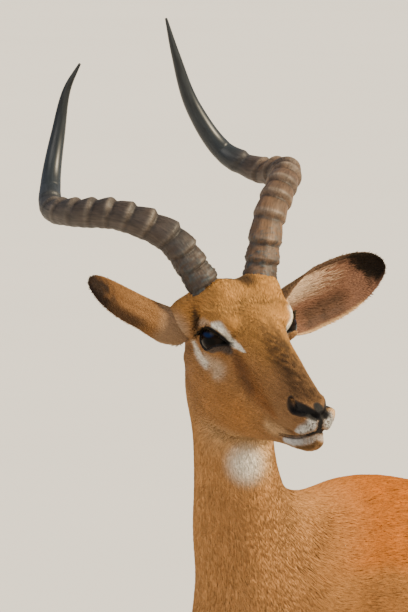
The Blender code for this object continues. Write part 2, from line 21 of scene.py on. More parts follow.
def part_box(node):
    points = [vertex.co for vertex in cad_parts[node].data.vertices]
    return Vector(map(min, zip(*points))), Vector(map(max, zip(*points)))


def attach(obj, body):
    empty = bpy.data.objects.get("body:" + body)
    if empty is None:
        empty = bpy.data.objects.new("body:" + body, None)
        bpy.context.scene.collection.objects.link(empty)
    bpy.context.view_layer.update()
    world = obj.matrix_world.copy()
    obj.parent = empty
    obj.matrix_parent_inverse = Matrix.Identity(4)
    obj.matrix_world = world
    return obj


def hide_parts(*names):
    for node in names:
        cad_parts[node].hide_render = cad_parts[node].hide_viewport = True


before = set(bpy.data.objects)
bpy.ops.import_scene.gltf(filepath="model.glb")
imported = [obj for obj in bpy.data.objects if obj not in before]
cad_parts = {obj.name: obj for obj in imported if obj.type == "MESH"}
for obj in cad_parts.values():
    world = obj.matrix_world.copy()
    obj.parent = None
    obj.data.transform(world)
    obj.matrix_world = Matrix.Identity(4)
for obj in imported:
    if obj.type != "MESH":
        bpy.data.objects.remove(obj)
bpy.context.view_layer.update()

# ---------------------------------------------------------------- the CAD's forms

HEAD_AT = (0.085, 0.423, 1.066)
HEAD_TURN = 81.6
HEAD_BOW = 22.5
HEAD_ROLL = 8.3

# Rows of a loft: x, s, z of the centre, half width, half depth, and how far the
# front (or top) of the section is narrower than its back (or bottom).
TRUNK = (
    (0, -0.540, 0.775, 0.020, 0.022, 0.0),
    (0, -0.515, 0.778, 0.058, 0.066, 0.05),
    (0, -0.460, 0.772, 0.088, 0.112, 0.10),
    (0, -0.380, 0.765, 0.104, 0.140, 0.15),
    (0, -0.280, 0.766, 0.116, 0.142, 0.18),
    (0, -0.160, 0.739, 0.130, 0.153, 0.15),
    (0, -0.020, 0.722, 0.136, 0.165, 0.15),
    (0, 0.110, 0.713, 0.129, 0.177, 0.20),
    (0, 0.220, 0.711, 0.114, 0.184, 0.28),
    (0, 0.300, 0.690, 0.100, 0.152, 0.25),
    (0, 0.360, 0.660, 0.080, 0.112, 0.15),
    (0, 0.402, 0.635, 0.050, 0.070, 0.10),
    (0, 0.418, 0.625, 0.018, 0.030, 0.0),
)

# The neck's rows end in the turn of the section, in degrees to the left.
NECK = (
    (0, 0.220, 0.690, 0.080, 0.140, 0.20, 0),
    (0, 0.295, 0.745, 0.072, 0.122, 0.20, 3),
    (0, 0.342, 0.800, 0.059, 0.095, 0.18, 10),
    (0.002, 0.370, 0.855, 0.053, 0.077, 0.15, 24),
    (0.005, 0.385, 0.910, 0.049, 0.065, 0.12, 42),
    (0.004, 0.394, 0.970, 0.046, 0.059, 0.10, 60),
    (0.000, 0.402, 1.020, 0.043, 0.054, 0.08, 74),
    (0.006, 0.410, 1.050, 0.038, 0.044, 0.05, 80),
)

FORE_LEG = (
    (0.042, 0.215, 0.835, 0.022, 0.040, 0.0),
    (0.062, 0.250, 0.760, 0.034, 0.068, 0.0),
    (0.077, 0.278, 0.680, 0.039, 0.086, 0.0),
    (0.082, 0.270, 0.600, 0.037, 0.078, 0.0),
    (0.083, 0.262, 0.540, 0.033, 0.058, 0.0),
    (0.080, 0.268, 0.480, 0.0265, 0.040, 0.1),
    (0.077, 0.276, 0.410, 0.0215, 0.0295, 0.1),
    (0.074, 0.282, 0.350, 0.0195, 0.0235, 0.0),
    (0.073, 0.286, 0.312, 0.0220, 0.0255, 0.0),
    (0.072, 0.283, 0.272, 0.0165, 0.0200, 0.0),
    (0.071, 0.281, 0.200, 0.0135, 0.0160, 0.1),
    (0.070, 0.281, 0.140, 0.0140, 0.0170, 0.0),
    (0.070, 0.284, 0.105, 0.0185, 0.0215, 0.0),
    (0.070, 0.296, 0.074, 0.0160, 0.0175, 0.0),
    (0.070, 0.307, 0.045, 0.0200, 0.0215, 0.0),
    (0.070, 0.313, 0.028, 0.0210, 0.0240, 0.0),
)

HIND_LEG = (
    (0.045, -0.370, 0.840, 0.026, 0.060, 0.0),
    (0.064, -0.385, 0.770, 0.042, 0.105, 0.0),
    (0.080, -0.372, 0.680, 0.047, 0.126, 0.05),
    (0.086, -0.345, 0.600, 0.042, 0.105, 0.10),
    (0.083, -0.340, 0.535, 0.031, 0.073, 0.15),
    (0.079, -0.375, 0.470, 0.0235, 0.050, 0.10),
    (0.075, -0.430, 0.405, 0.0185, 0.034, 0.10),
    (0.073, -0.476, 0.358, 0.0175, 0.030, 0.0),
    (0.072, -0.494, 0.322, 0.0195, 0.029, 0.0),
    (0.071, -0.487, 0.280, 0.0155, 0.0215, 0.0),
    (0.070, -0.477, 0.205, 0.0135, 0.0165, 0.1),
    (0.070, -0.466, 0.140, 0.0140, 0.0175, 0.0),
    (0.070, -0.457, 0.105, 0.0185, 0.0215, 0.0),
    (0.070, -0.441, 0.074, 0.0160, 0.0175, 0.0),
    (0.070, -0.429, 0.045, 0.0200, 0.0215, 0.0),
    (0.070, -0.423, 0.028, 0.0210, 0.0240, 0.0),
)

STEPS = {
    "front_left": 0.012,
    "front_right": -0.020,
    "hind_left": -0.025,
    "hind_right": 0.030,
}
STEP_BEND = 1.5

TAIL = (
    (0, -0.480, 0.825, 0.024, 0.018, 0.0),
    (0, -0.535, 0.835, 0.023, 0.018, 0.0),
    (0, -0.568, 0.795, 0.022, 0.016, 0.0),
    (0, -0.577, 0.730, 0.021, 0.014, 0.0),
    (0, -0.574, 0.650, 0.021, 0.013, 0.0),
    (0, -0.570, 0.590, 0.018, 0.011, 0.0),
    (0, -0.568, 0.560, 0.008, 0.006, 0.0),
)

UPPER_HEAD = (
    (0, -0.118, -0.010, 0.020, 0.022, 0.0),
    (0, -0.100, -0.006, 0.038, 0.041, 0.10),
    (0, -0.062, -0.003, 0.048, 0.057, 0.22),
    (0, -0.025, -0.005, 0.049, 0.060, 0.22),
    (0, 0.012, -0.009, 0.041, 0.057, 0.20),
    (0, 0.035, -0.011, 0.036, 0.051, 0.19),
    (0, 0.062, -0.012, 0.032, 0.0445, 0.18),
    (0, 0.100, -0.014, 0.0262, 0.035, 0.15),
    (0, 0.134, -0.016, 0.0234, 0.0270, 0.12),
    (0, 0.153, -0.018, 0.0222, 0.0230, 0.08),
    (0, 0.164, -0.020, 0.0165, 0.0165, 0.0),
    (0, 0.1685, -0.021, 0.0070, 0.0070, 0.0),
)
LOWER_JAW = (
    (0, -0.070, -0.060, 0.030, 0.030, 0.0),
    (0, -0.040, -0.066, 0.040, 0.046, -0.10),
    (0, 0.000, -0.067, 0.041, 0.046, 0.0),
    (0, 0.035, -0.065, 0.036, 0.037, 0.10),
    (0, 0.070, -0.063, 0.0265, 0.024, 0.10),
    (0, 0.110, -0.058, 0.0190, 0.0145, 0.10),
    (0, 0.140, -0.052, 0.0165, 0.0115, 0.10),
    (0, 0.157, -0.047, 0.0120, 0.0085, 0.0),
    (0, 0.163, -0.045, 0.0050, 0.0040, 0.0),
)

# Rounded masses on both sides of the head: the left one's centre, then its radii.
SIDE_MASSES = {
    "cheek": ((0.025, -0.008, -0.056), (0.021, 0.050, 0.042)),
    "orbit": ((0.0360, -0.022, 0.008), (0.0200, 0.028, 0.028)),
    "brow": ((0.0355, -0.014, 0.035), (0.0150, 0.026, 0.011)),
    "pedicle": ((0.034, -0.056, 0.040), (0.021, 0.023, 0.021)),
    "nostril_wing": ((0.0150, 0.149, -0.009), (0.0095, 0.016, 0.0115)),
    "horn_fold": ((0.0255, -0.042, 0.0480), (0.0200, 0.022, 0.0175)),
}
EAR_ROOTS = {
    "left": ((0.052, -0.070, 0.006), (0.030, 0.022, 0.025)),
    "right": ((-0.050, -0.070, 0.014), (0.028, 0.022, 0.026)),
}
BLENDS = {
    "trunk": 0.010,
    "neck": 0.045,
    "leg": 0.040,
    "tail": 0.020,
    "upper_head": 0.030,
    "lower_jaw": 0.014,
    "cheek": 0.020,
    "orbit": 0.012,
    "brow": 0.018,
    "pedicle": 0.012,
    "nostril_wing": 0.010,
    "horn_fold": 0.024,
    "ear_root": 0.018,
}

EYE_RADIUS = 0.0185
EYE_CENTRE = (0.0425, -0.0140, 0.0125)
EYE_AIM = (0.84, 0.50, 0.15)

EAR_LENGTH = {"left": 0.176, "right": 0.165}
EAR_ROOTED = 0.19
EAR_OPENED = 0.45
EAR_ROOT_ANGLE = 150
EAR_LEAF_ANGLE = 50
EAR_CUP = 0.6
EAR_HALF_WIDTHS = {"left": 0.034, "right": 0.0245}
# How much fuller the lower edge is than the upper.
EAR_LOBES = {"left": 0.26, "right": 0.0}
EAR_ROOT_WIDTH = {"left": 0.52, "right": 0.74}
EAR_TIP_WIDTH = 0.02
EAR_WIDEST = 0.48
EAR_BEND = {"left": 0.006, "right": -0.006}
EAR_BASES = {"left": (0.085, -0.066, 0.001), "right": (-0.083, -0.072, 0.014)}
EAR_AIMS = {"left": (0.97, -0.20, 0.125), "right": (-0.81, 0.10, 0.565)}
EAR_OPENINGS = {"left": (0.15, 0.95, 0.15), "right": (-0.51, -0.56, -0.64)}

HORN_RADIUS = 0.0185
HORN_TAPER = 0.92
HORN_TAPER_POWER = 2.6
RIDGED_SHARE = 0.67
LEFT_HORN = (
    (0.024, -0.044, 0.032),
    (0.041, -0.069, 0.068),
    (0.064, -0.101, 0.104),
    (0.104, -0.148, 0.119),
    (0.141, -0.205, 0.105),
    (0.141, -0.262, 0.080),
    (0.118, -0.312, 0.084),
    (0.092, -0.350, 0.130),
    (0.074, -0.372, 0.195),
    (0.063, -0.381, 0.240),
)
RIGHT_HORN = (
    (-0.027, -0.044, 0.032),
    (-0.043, -0.070, 0.068),
    (-0.063, -0.100, 0.103),
    (-0.101, -0.146, 0.117),
    (-0.137, -0.213, 0.097),
    (-0.137, -0.263, 0.079),
    (-0.115, -0.312, 0.086),
    (-0.089, -0.350, 0.128),
    (-0.073, -0.363, 0.180),
    (-0.063, -0.355, 0.213),
)
HEAD_CUT = ((0, 0.030, -0.128), (0, -0.130, -0.085))

# ---------------------------------------------------------------- sizes of the looks

HEAD_VOXEL = 0.0019
BODY_VOXEL = 0.0056
HEAD_BOX = ((-0.14, -0.57, 0.86), (0.29, -0.26, 1.18))
BODY_BOX = ((-0.20, -0.50, 0.03), (0.29, 0.62, 1.18))
# Past this distance from a mass its field is level, as it is in the CAD's joins.
FIELD_REACH = 0.028
# How far the skin lies inside the solids: on the face, the legs and the trunk.
FACE_DEPTH = 0.0016
LEG_DEPTH = 0.0020
TRUNK_DEPTH = 0.0036
# The skin only has to be drawn in where the field is nearer to 0 than this.
INSET_BAND = 0.012
# The gap between the head's mesh and the body's, which a strip of faces bridges.
SEAM_HALF_GAP = 0.0018
# How far down the neck from the CAD's cut that strip lies.
SEAM_DROP = 0.045


# ---------------------------------------------------------------- small helpers


def unit(vectors):
    """The vectors, each scaled to a length of 1."""
    vectors = np.array(vectors, float)
    return vectors / np.maximum(np.linalg.norm(vectors, axis=-1, keepdims=True), 1e-12)


def dots(a, b):
    """The dot product of each pair of vectors."""
    return np.sum(a * b, axis=-1)


def ease(low, high, values):
    """A smooth step from 0 at low to 1 at high."""
    t = np.clip((values - low) / (high - low), 0, 1)
    return t * t * (3 - 2 * t)


def head_matrix():
    """Where the head's own frame stands in the body's."""
    turn = Matrix.Rotation(math.radians(HEAD_TURN), 4, "Z")
    bow = Matrix.Rotation(math.radians(HEAD_BOW), 4, "X")
    roll = Matrix.Rotation(math.radians(-HEAD_ROLL), 4, "Y")
    place = Vector((HEAD_AT[0], -HEAD_AT[1], HEAD_AT[2]))
    return Matrix.Translation(place) @ turn @ bow @ roll


HEAD_FRAME = np.array(head_matrix())


def in_world(points):
    """Points (x, s, z) of the head's frame as points of the body's."""
    return np.array(points) * (1, -1, 1) @ HEAD_FRAME[:3, :3].T + HEAD_FRAME[:3, 3]


def in_head(points):
    """Points of the body's frame as (x, s, z) in the head's."""
    return (np.array(points) - HEAD_FRAME[:3, 3]) @ HEAD_FRAME[:3, :3] * (1, -1, 1)


def turned(vectors):
    """Directions (x, s, z) of the head's frame as directions of the body's."""
    return np.array(vectors) * (1, -1, 1) @ HEAD_FRAME[:3, :3].T


# The CAD model is centred on its box; its left eye says how far that moved it.
eye_low, eye_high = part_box("eye_left")
SHIFT = (np.array(eye_low) + np.array(eye_high)) / 2 - in_world([EYE_CENTRE])[0]


def through(rows, count):
    """Evenly spaced rows of a smooth curve through the given rows."""
    rows = np.array(rows, float)
    steps = np.linalg.norm(np.diff(rows[:, :3], axis=0), axis=1)
    along = np.concatenate([[0.0], np.cumsum(steps)])
    slopes = np.gradient(rows, along, axis=0)
    at = np.linspace(0.0, along[-1], count)
    i = np.clip(np.searchsorted(along, at, side="right") - 1, 0, len(rows) - 2)
    length = (along[i + 1] - along[i])[:, None]
    t = ((at - along[i]) / length[:, 0])[:, None]
    start = rows[i] * (1 + 2 * t) * (1 - t) ** 2 + slopes[i] * length * t * (1 - t) ** 2
    end = rows[i + 1] * t**2 * (3 - 2 * t) + slopes[i + 1] * length * t**2 * (t - 1)
    return start + end


def tube_faces(rings, sides):
    """Quads between neighbouring rings, and fans over the two ends."""
    quads = []
    for ring in range(rings - 1):
        for side in range(sides):
            a = ring * sides + side
            b = ring * sides + (side + 1) % sides
            quads.append((a, b, b + sides, a + sides))
    first = rings * sides
    last = (rings - 1) * sides
    caps = []
    for side in range(sides):
        following = (side + 1) % sides
        caps.append((first, following, side))
        caps.append((first + 1, last + side, last + following))
    return quads, caps


def loft(rows, rings, sides, square=0.9, in_heads_frame=False):
    """A closed tube through the rows, as (points, quads, triangles)."""
    smooth = through(rows, rings)
    centres = smooth[:, :3] * (1, -1, 1)
    turn = np.radians(smooth[:, 6]) if smooth.shape[1] > 6 else np.zeros(rings)
    across = np.stack([np.cos(turn), np.sin(turn), 0 * turn], axis=1)
    tangents = unit(np.gradient(centres, axis=0))
    fronts = unit(np.cross(tangents, across))
    side_axes = np.cross(fronts, tangents)
    angle = np.arange(sides) * 2 * np.pi / sides
    sine = np.sign(np.sin(angle)) * np.abs(np.sin(angle)) ** square
    cosine = np.sign(np.cos(angle)) * np.abs(np.cos(angle)) ** square
    half_width, half_depth, taper = smooth[:, 3:6].T[:, :, None]
    sideways = half_width * sine * (1 - taper * np.cos(angle))
    points = centres[:, None] + sideways[..., None] * side_axes[:, None]
    points = points + (half_depth * cosine)[..., None] * fronts[:, None]
    points = np.concatenate([points.reshape(-1, 3), centres[[0, -1]]])
    if in_heads_frame:
        points = points @ HEAD_FRAME[:3, :3].T + HEAD_FRAME[:3, 3]
    return points, *tube_faces(rings, sides)


def ball(centre, radii, side=1, segments=32):
    """An ellipsoid of the head, mirrored to its right side by side = -1."""
    shape = bmesh.new()
    bmesh.ops.create_uvsphere(
        shape, u_segments=segments, v_segments=segments // 2 + 1, radius=1.0
    )
    place = Matrix.Translation((side * centre[0], -centre[1], centre[2]))
    shape.transform(head_matrix() @ place @ Matrix.Diagonal((*radii, 1)))
    points = np.array([v.co[:] for v in shape.verts])
    # Blender lists a sphere's faces in another order each run, so they are sorted.
    faces = sorted([v.index for v in f.verts] for f in shape.faces)
    quads = [face for face in faces if len(face) == 4]
    triangles = [face for face in faces if len(face) == 3]
    shape.free()
    return points, quads, triangles


def new_piece(name, points, faces, finish):
    """A mesh object, moved to where the CAD model stands, with smooth faces."""
    mesh = bpy.data.meshes.new(name)
    mesh.from_pydata([], [], [])
    points = np.asarray(points, np.float32) + SHIFT.astype(np.float32)
    faces = [np.asarray(part, np.int32) for part in faces if len(part)]
    sizes = np.concatenate([np.full(len(part), part.shape[1], np.int32) for part in faces])
    corners = np.concatenate([part.ravel() for part in faces])
    mesh.vertices.add(len(points))
    mesh.vertices.foreach_set("co", points.ravel())
    mesh.loops.add(len(corners))
    mesh.loops.foreach_set("vertex_index", corners)
    mesh.polygons.add(len(sizes))
    starts = np.concatenate([[0], np.cumsum(sizes)[:-1]]).astype(np.int32)
    mesh.polygons.foreach_set("loop_start", starts)
    mesh.update(calc_edges=True)
    mesh.shade_smooth()
    mesh.materials.append(finish)
    made = bpy.data.objects.new(name, mesh)
    bpy.context.scene.collection.objects.link(made)
    return made


def stored(piece, name, kind, key, values):
    """Keeps a value at every point of the piece under a name."""
    made = piece.data.attributes.new(name, kind, "POINT")
    made.data.foreach_set(key, values.astype(np.float32).ravel())


def coloured(piece, colours, name="coat_colour"):
    """Stores a linear colour at every point of the piece."""
    rgba = np.concatenate([colours, np.ones((len(colours), 1))], axis=1)
    stored(piece, name, "FLOAT_COLOR", "color", rgba)


def combing(piece, combs):
    """Stores at every point the coordinates that the hair's streaks follow."""
    stored(piece, "comb", "FLOAT_VECTOR", "vector", combs)


# ---------------------------------------------------------------- the melted skin


def stepped(rows, side, step):
    """A leg's rows on one side, bent from its top so the foot moves by step."""
    top, foot = rows[0][2], rows[-1][2]
    moved = []
    for x, s, z, *size in rows:
        share = (top - z) / (top - foot)
        moved.append((side * x, s + step * share**STEP_BEND, z, *size))
    return moved


def all_masses():
    """Every mass of flesh with the width of its blend."""
    masses = [
        (loft(TRUNK, rings=80, sides=56, square=0.88), BLENDS["trunk"]),
        (loft(NECK, rings=60, sides=48), BLENDS["neck"]),
    ]
    for foot, step in STEPS.items():
        side = 1 if foot.endswith("left") else -1
        rows = FORE_LEG if foot.startswith("front") else HIND_LEG
        masses.append((loft(stepped(rows, side, step), rings=140, sides=28), BLENDS["leg"]))
    masses.append((loft(TAIL, rings=50, sides=24), BLENDS["tail"]))
    upper = loft(UPPER_HEAD, rings=90, sides=56, square=0.85, in_heads_frame=True)
    lower = loft(LOWER_JAW, rings=80, sides=48, square=0.9, in_heads_frame=True)
    masses += [(upper, BLENDS["upper_head"]), (lower, BLENDS["lower_jaw"])]
    for side in (1, -1):
        for name, (centre, radii) in SIDE_MASSES.items():
            masses.append((ball(centre, radii, side), BLENDS[name]))
    for root in EAR_ROOTS.values():
        masses.append((ball(*root), BLENDS["ear_root"]))
    return masses


def seam_plane():
    """A point and normal of the plane where the head's mesh meets the body's."""
    rear_up = np.subtract(HEAD_CUT[1], HEAD_CUT[0])
    normal = unit((0, rear_up[2], -rear_up[1]))
    ends = in_world([HEAD_CUT[0], HEAD_CUT[0] + normal])
    return ends[0], ends[1] - ends[0]


def coat_depth(points):
    """How far inside the solids the skin lies at each point."""
    point, normal = seam_plane()
    over_seam = ease(-0.07, 0.04, (points - point) @ normal)
    over_leg = ease(0.36, 0.62, points[:, 2])
    on_body = LEG_DEPTH + (TRUNK_DEPTH - LEG_DEPTH) * over_leg
    return on_body + (FACE_DEPTH - on_body) * over_seam


def melted(masses, voxel, low, high):
    """The masses joined by smooth unions between two corners, drawn in, as quads."""
    first = np.floor(np.array(low) / voxel).astype(int)
    counts = np.ceil(np.array(high) / voxel).astype(int) - first
    field = np.full(counts, FIELD_REACH, np.float32)
    placing = openvdb.createLinearTransform(voxelSize=voxel)
    for (points, quads, triangles), blend in masses:
        margin = max(blend, FIELD_REACH) + 3 * voxel
        start = np.floor((points.min(0) - margin) / voxel).astype(int)
        end = np.ceil((points.max(0) + margin) / voxel).astype(int)
        start = np.clip(start, first, first + counts)
        end = np.clip(end, first, first + counts)
        if np.any(end <= start):
            continue
        grid = openvdb.FloatGrid.createLevelSetFromPolygons(
            points.astype(np.float32),
            triangles=np.array(triangles, np.uint32),
            quads=np.array(quads, np.uint32),
            transform=placing,
            halfWidth=margin / voxel,
        )
        nearby = np.empty(end - start, np.float32)
        grid.copyToArray(nearby, ijk=tuple(int(i) for i in start))
        window = tuple(slice(a, b) for a, b in zip(start - first, end - first))
        part = field[window]
        mix = np.clip(1 - np.abs(part - nearby) / blend, 0, 1)
        field[window] = np.minimum(part, nearby) - mix**2 * blend / 4
    band = np.argwhere(np.abs(field) < INSET_BAND)
    inset = coat_depth((band + first) * voxel)
    field[tuple(band.T)] += inset.astype(np.float32)
    whole = openvdb.FloatGrid(FIELD_REACH)
    whole.copyFromArray(field, ijk=tuple(int(i) for i in first))
    whole.transform = placing
    points, quads = whole.convertToQuads(0.0)
    return points.astype(float), quads.astype(int)


def trimmed(points, quads, point, normal):
    """A mesh of the part on the normal's side of a plane, open where it is cut."""
    mesh = bpy.data.meshes.new("trimmed")
    mesh.from_pydata(points.tolist(), [], quads.tolist())
    shape = bmesh.new()
    shape.from_mesh(mesh)
    bpy.data.meshes.remove(mesh)
    everything = shape.verts[:] + shape.edges[:] + shape.faces[:]
    bmesh.ops.bisect_plane(
        shape, geom=everything, plane_co=point, plane_no=normal, clear_inner=True
    )
    return shape


def largest_part(shape):
    """Deletes all but the biggest connected part of the mesh."""
    unseen = set(shape.verts)
    parts = []
    while unseen:
        todo = [unseen.pop()]
        part = list(todo)
        while todo:
            for edge in todo.pop().link_edges:
                for vert in edge.verts:
                    if vert in unseen:
                        unseen.remove(vert)
                        todo.append(vert)
                        part.append(vert)
        parts.append(part)
    parts.sort(key=len)
    for part in parts[:-1]:
        bmesh.ops.delete(shape, geom=part, context="VERTS")


def bridged(shape, point, normal):
    """Joins the two open rims on either side of the seam with a strip of faces."""
    across = unit(np.cross(normal, (0, 0, 1)))
    along = np.cross(normal, across)
    rims = ([], [])
    for vert in {v for e in shape.edges if e.is_boundary for v in e.verts}:
        offset = np.array(vert.co) - point
        height = offset @ normal
        if abs(height) < 3 * SEAM_HALF_GAP:
            rims[int(height > 0)].append((vert, offset @ across, offset @ along))
    ordered = []
    middle = np.mean([(a, b) for rim in rims for _, a, b in rim], axis=0)
    for rim in rims:
        turns = [(math.atan2(b - middle[1], a - middle[0]), v) for v, a, b in rim]
        turns.sort(key=lambda pair: pair[0])
        turns.append((turns[0][0] + 2 * math.pi, turns[0][1]))
        ordered.append(turns)
    low, high = ordered
    i = j = 0
    while i < len(low) - 1 or j < len(high) - 1:
        low_next = low[i + 1][0] if i < len(low) - 1 else math.inf
        high_next = high[j + 1][0] if j < len(high) - 1 else math.inf
        if low_next <= high_next:
            shape.faces.new((low[i][1], low[i + 1][1], high[j][1]))
            i += 1
        else:
            shape.faces.new((low[i][1], high[j + 1][1], high[j][1]))
            j += 1


# ---------------------------------------------------------------- the whole skin

# How far from the eye's middle, and from where along the muzzle, the mesh is finer.
EYE_REACH = 0.033
MUZZLE_START = 0.100
FINE_SMOOTHING = 0.6


def near_features(point):
    """Whether a point (|x|, s, z) of the head lies where the face needs a finer mesh."""
    a, s, z = abs(point[0]), point[1], point[2]
    eye = (a - EYE_CENTRE[0], s - EYE_CENTRE[1], z - EYE_CENTRE[2])
    return math.hypot(*eye) < EYE_REACH or s > MUZZLE_START


def skin_mesh():
    """The skin without ears, as (points, triangles), finer round eyes and muzzle."""
    masses = all_masses()
    point, normal = seam_plane()
    point = point - SEAM_DROP * normal
    whole = bmesh.new()
    for voxel, box, side in ((HEAD_VOXEL, HEAD_BOX, 1), (BODY_VOXEL, BODY_BOX, -1)):
        points, quads = melted(masses, voxel, *box)
        part = trimmed(points, quads, point + side * SEAM_HALF_GAP * normal, side * normal)
        largest_part(part)
        mesh = bpy.data.meshes.new("part")
        part.to_mesh(mesh)
        part.free()
        whole.from_mesh(mesh)
        bpy.data.meshes.remove(mesh)
    bridged(whole, point, normal)
    whole.verts.ensure_lookup_table()
    places = in_head([v.co[:] for v in whole.verts])
    fine = {vert for vert, place in zip(whole.verts, places) if near_features(place)}
    edges = [e for e in whole.edges if e.verts[0] in fine and e.verts[1] in fine]
    bmesh.ops.subdivide_edges(
        whole, edges=edges, cuts=1, use_grid_fill=True, smooth=FINE_SMOOTHING
    )
    bmesh.ops.triangulate(whole, faces=whole.faces[:])
    bmesh.ops.recalc_face_normals(whole, faces=whole.faces[:])
    whole.verts.index_update()
    points = np.array([v.co[:] for v in whole.verts])
    triangles = np.array([[v.index for v in f.verts] for f in whole.faces])
    whole.free()
    return points, triangles


def point_normals(points, triangles):
    """The normal at every point, weighted by the areas of its triangles."""
    a, b, c = (points[triangles[:, i]] for i in range(3))
    faces = np.cross(b - a, c - a)
    normals = np.zeros_like(points)
    for i in range(3):
        for axis in range(3):
            normals[:, axis] += np.bincount(
                triangles[:, i], faces[:, axis], minlength=len(points)
            )
    return unit(normals)


def blob(points, centre, radii, soft):
    """1 inside an ellipsoid, easing to 0 outside it."""
    distance = np.linalg.norm((points - centre) / np.array(radii), axis=-1)
    return 1 - ease(1 - soft, 1 + soft, distance)


def widened(rows, times=1.0, more=0.0):
    """A path of (x, s, z, half width) made wider."""
    return [(*row[:3], row[3] * times + more) for row in rows]


STROKE_DABS = 30


def stroke(points, rows, soft):
    """1 along a smooth path of (x, s, z, half width), easing to 0 past that width."""
    nearest = np.full(len(points), np.inf)
    for *place, width in through(rows, STROKE_DABS):
        distance = np.linalg.norm(points - place, axis=1) / width
        nearest = np.minimum(nearest, distance)
    return 1 - ease(1 - soft, 1 + soft, nearest)


# ---------------------------------------------------------------- eyelids and face

EYE_FORWARD = (0.527, 0.830, 0.182)
# The edges of the lids, as distances over the ball: towards the nose, then upward.
UPPER_LID = (
    (-0.0215, 0.0040),
    (-0.0190, 0.0095),
    (-0.0130, 0.0133),
    (-0.0040, 0.0136),
    (0.0040, 0.0118),
    (0.0105, 0.0077),
    (0.0175, 0.0022),
    (0.0235, -0.0030),
)
LOWER_LID = (
    (-0.0215, 0.0040),
    (-0.0195, -0.0010),
    (-0.0165, -0.0068),
    (-0.0120, -0.0108),
    (-0.0065, -0.0118),
    (-0.0005, -0.0092),
    (0.0050, -0.0052),
    (0.0110, -0.0028),
    (0.0175, -0.0024),
    (0.0235, -0.0032),
)
LID_POINTS = 90
LID_THICKNESS = 0.0018
# The least cover over the ball beyond the lids, as a share of their thickness.
LID_THINNEST = 0.4
LID_FADE = 0.0090
# The crease above the upper lid: its distance from the edge, depth and width.
LID_CREASE_AT = 0.0045
LID_CREASE = 0.0008
LID_CREASE_WIDTH = 0.0013
# How far under the ball's surface the skin is tucked in the opening.
LID_TUCK = 0.0025
LID_EDGE = 0.0006
LID_BARE = 0.0024


def eye_axes():
    """The eye's aim, and the directions of its front corner and of its upper lid."""
    aim = unit(EYE_AIM)
    forward = np.array(EYE_FORWARD) * (-1, 1, 1)
    forward = unit(forward - aim * (forward @ aim))
    above = np.cross(forward, aim)
    return aim, forward, above * np.sign(above[2])


def over_ball(out):
    """Distances over the eyeball towards the nose and upward, for directions out."""
    aim, forward, above = eye_axes()
    across = np.arctan2(out @ forward, out @ aim) * EYE_RADIUS
    return across, np.arcsin(np.clip(out @ above, -1, 1)) * EYE_RADIUS


def lid_gap(out):
    """Distance over the ball outside the opening between the lids, below 0 in it."""
    across, up = over_ball(out)
    upper = through(UPPER_LID, LID_POINTS)
    lower = through(LOWER_LID, LID_POINTS)
    inside = up < np.interp(across, upper[:, 0], upper[:, 1])
    inside &= up > np.interp(across, lower[:, 0], lower[:, 1])
    inside &= (across > upper[0, 0]) & (across < upper[-1, 0])
    gap = np.full(len(out), np.inf)
    for rim_across, rim_up in np.concatenate([upper, lower]):
        gap = np.minimum(gap, np.hypot(across - rim_across, up - rim_up))
    return np.where(inside, -gap, gap)


def with_lids(heads):
    """Draws the skin over each eyeball except in the opening between the lids."""
    aim, _, above = eye_axes()
    for side in (1, -1):
        mirrored = np.array((side, 1, 1))
        rel = heads * mirrored - EYE_CENTRE
        distance = np.linalg.norm(rel, axis=1)
        near = (distance < EYE_REACH) & (rel @ aim > 0)
        part = rel[near]
        out = unit(part)
        gap = lid_gap(out)
        cover = EYE_RADIUS + LID_THICKNESS
        rest = np.maximum(distance[near], EYE_RADIUS + LID_THICKNESS * LID_THINNEST)
        ridge = 1 - ease(0.0, LID_FADE, gap)
        crease = np.exp(-(((gap - LID_CREASE_AT) / LID_CREASE_WIDTH) ** 2)) * (out @ above > 0)
        radius = rest + (cover - rest) * ridge - LID_CREASE * crease
        hidden = EYE_RADIUS - LID_TUCK
        radius += (hidden - radius) * (1 - ease(-LID_EDGE, 0, gap))
        heads[near] = (EYE_CENTRE + out * radius[:, None]) * mirrored
    return heads


# Grooves of the muzzle: x, s, z along a path with its half width.
NOSTRIL = (
    (0.0205, 0.1280, -0.0010, 0.0034),
    (0.0208, 0.1320, -0.0052, 0.0054),
    (0.0192, 0.1415, -0.0055, 0.0060),
    (0.0172, 0.1545, -0.0025, 0.0056),
    (0.0112, 0.1608, -0.0045, 0.0048),
    (0.0050, 0.1640, -0.0075, 0.0038),
)
MOUTH = (
    (0.0000, 0.1640, -0.0272, 0.0032),
    (0.0065, 0.1625, -0.0306, 0.0032),
    (0.0132, 0.1580, -0.0350, 0.0028),
    (0.0148, 0.1480, -0.0410, 0.0023),
    (0.0150, 0.1380, -0.0465, 0.0020),
    (0.0165, 0.1230, -0.0528, 0.0017),
    (0.0185, 0.1072, -0.0579, 0.0013),
)
PHILTRUM = (
    (0.0, 0.1630, -0.0060, 0.0034),
    (0.0, 0.1665, -0.0140, 0.0032),
    (0.0, 0.1660, -0.0240, 0.0034),
)

# Shallow swellings (+) and hollows (-) of the head: centre, radii, height.
HEAD_RELIEF = (
    ((0.030, 0.055, -0.030), (0.012, 0.040, 0.018), -0.0016),
    ((0.034, 0.040, 0.000), (0.010, 0.022, 0.009), -0.0018),
    ((0.036, 0.000, -0.040), (0.014, 0.042, 0.012), 0.0016),
    ((0.048, -0.052, 0.020), (0.016, 0.014, 0.016), -0.0022),
    ((0.024, 0.105, -0.030), (0.012, 0.026, 0.014), 0.0010),
    ((0.020, 0.150, -0.024), (0.012, 0.018, 0.009), 0.0014),
    ((0.000, 0.020, 0.050), (0.012, 0.030, 0.014), -0.0010),
    ((0.000, 0.158, -0.050), (0.012, 0.012, 0.010), 0.0010),
    ((0.000, -0.050, 0.060), (0.014, 0.020, 0.014), 0.0020),
)
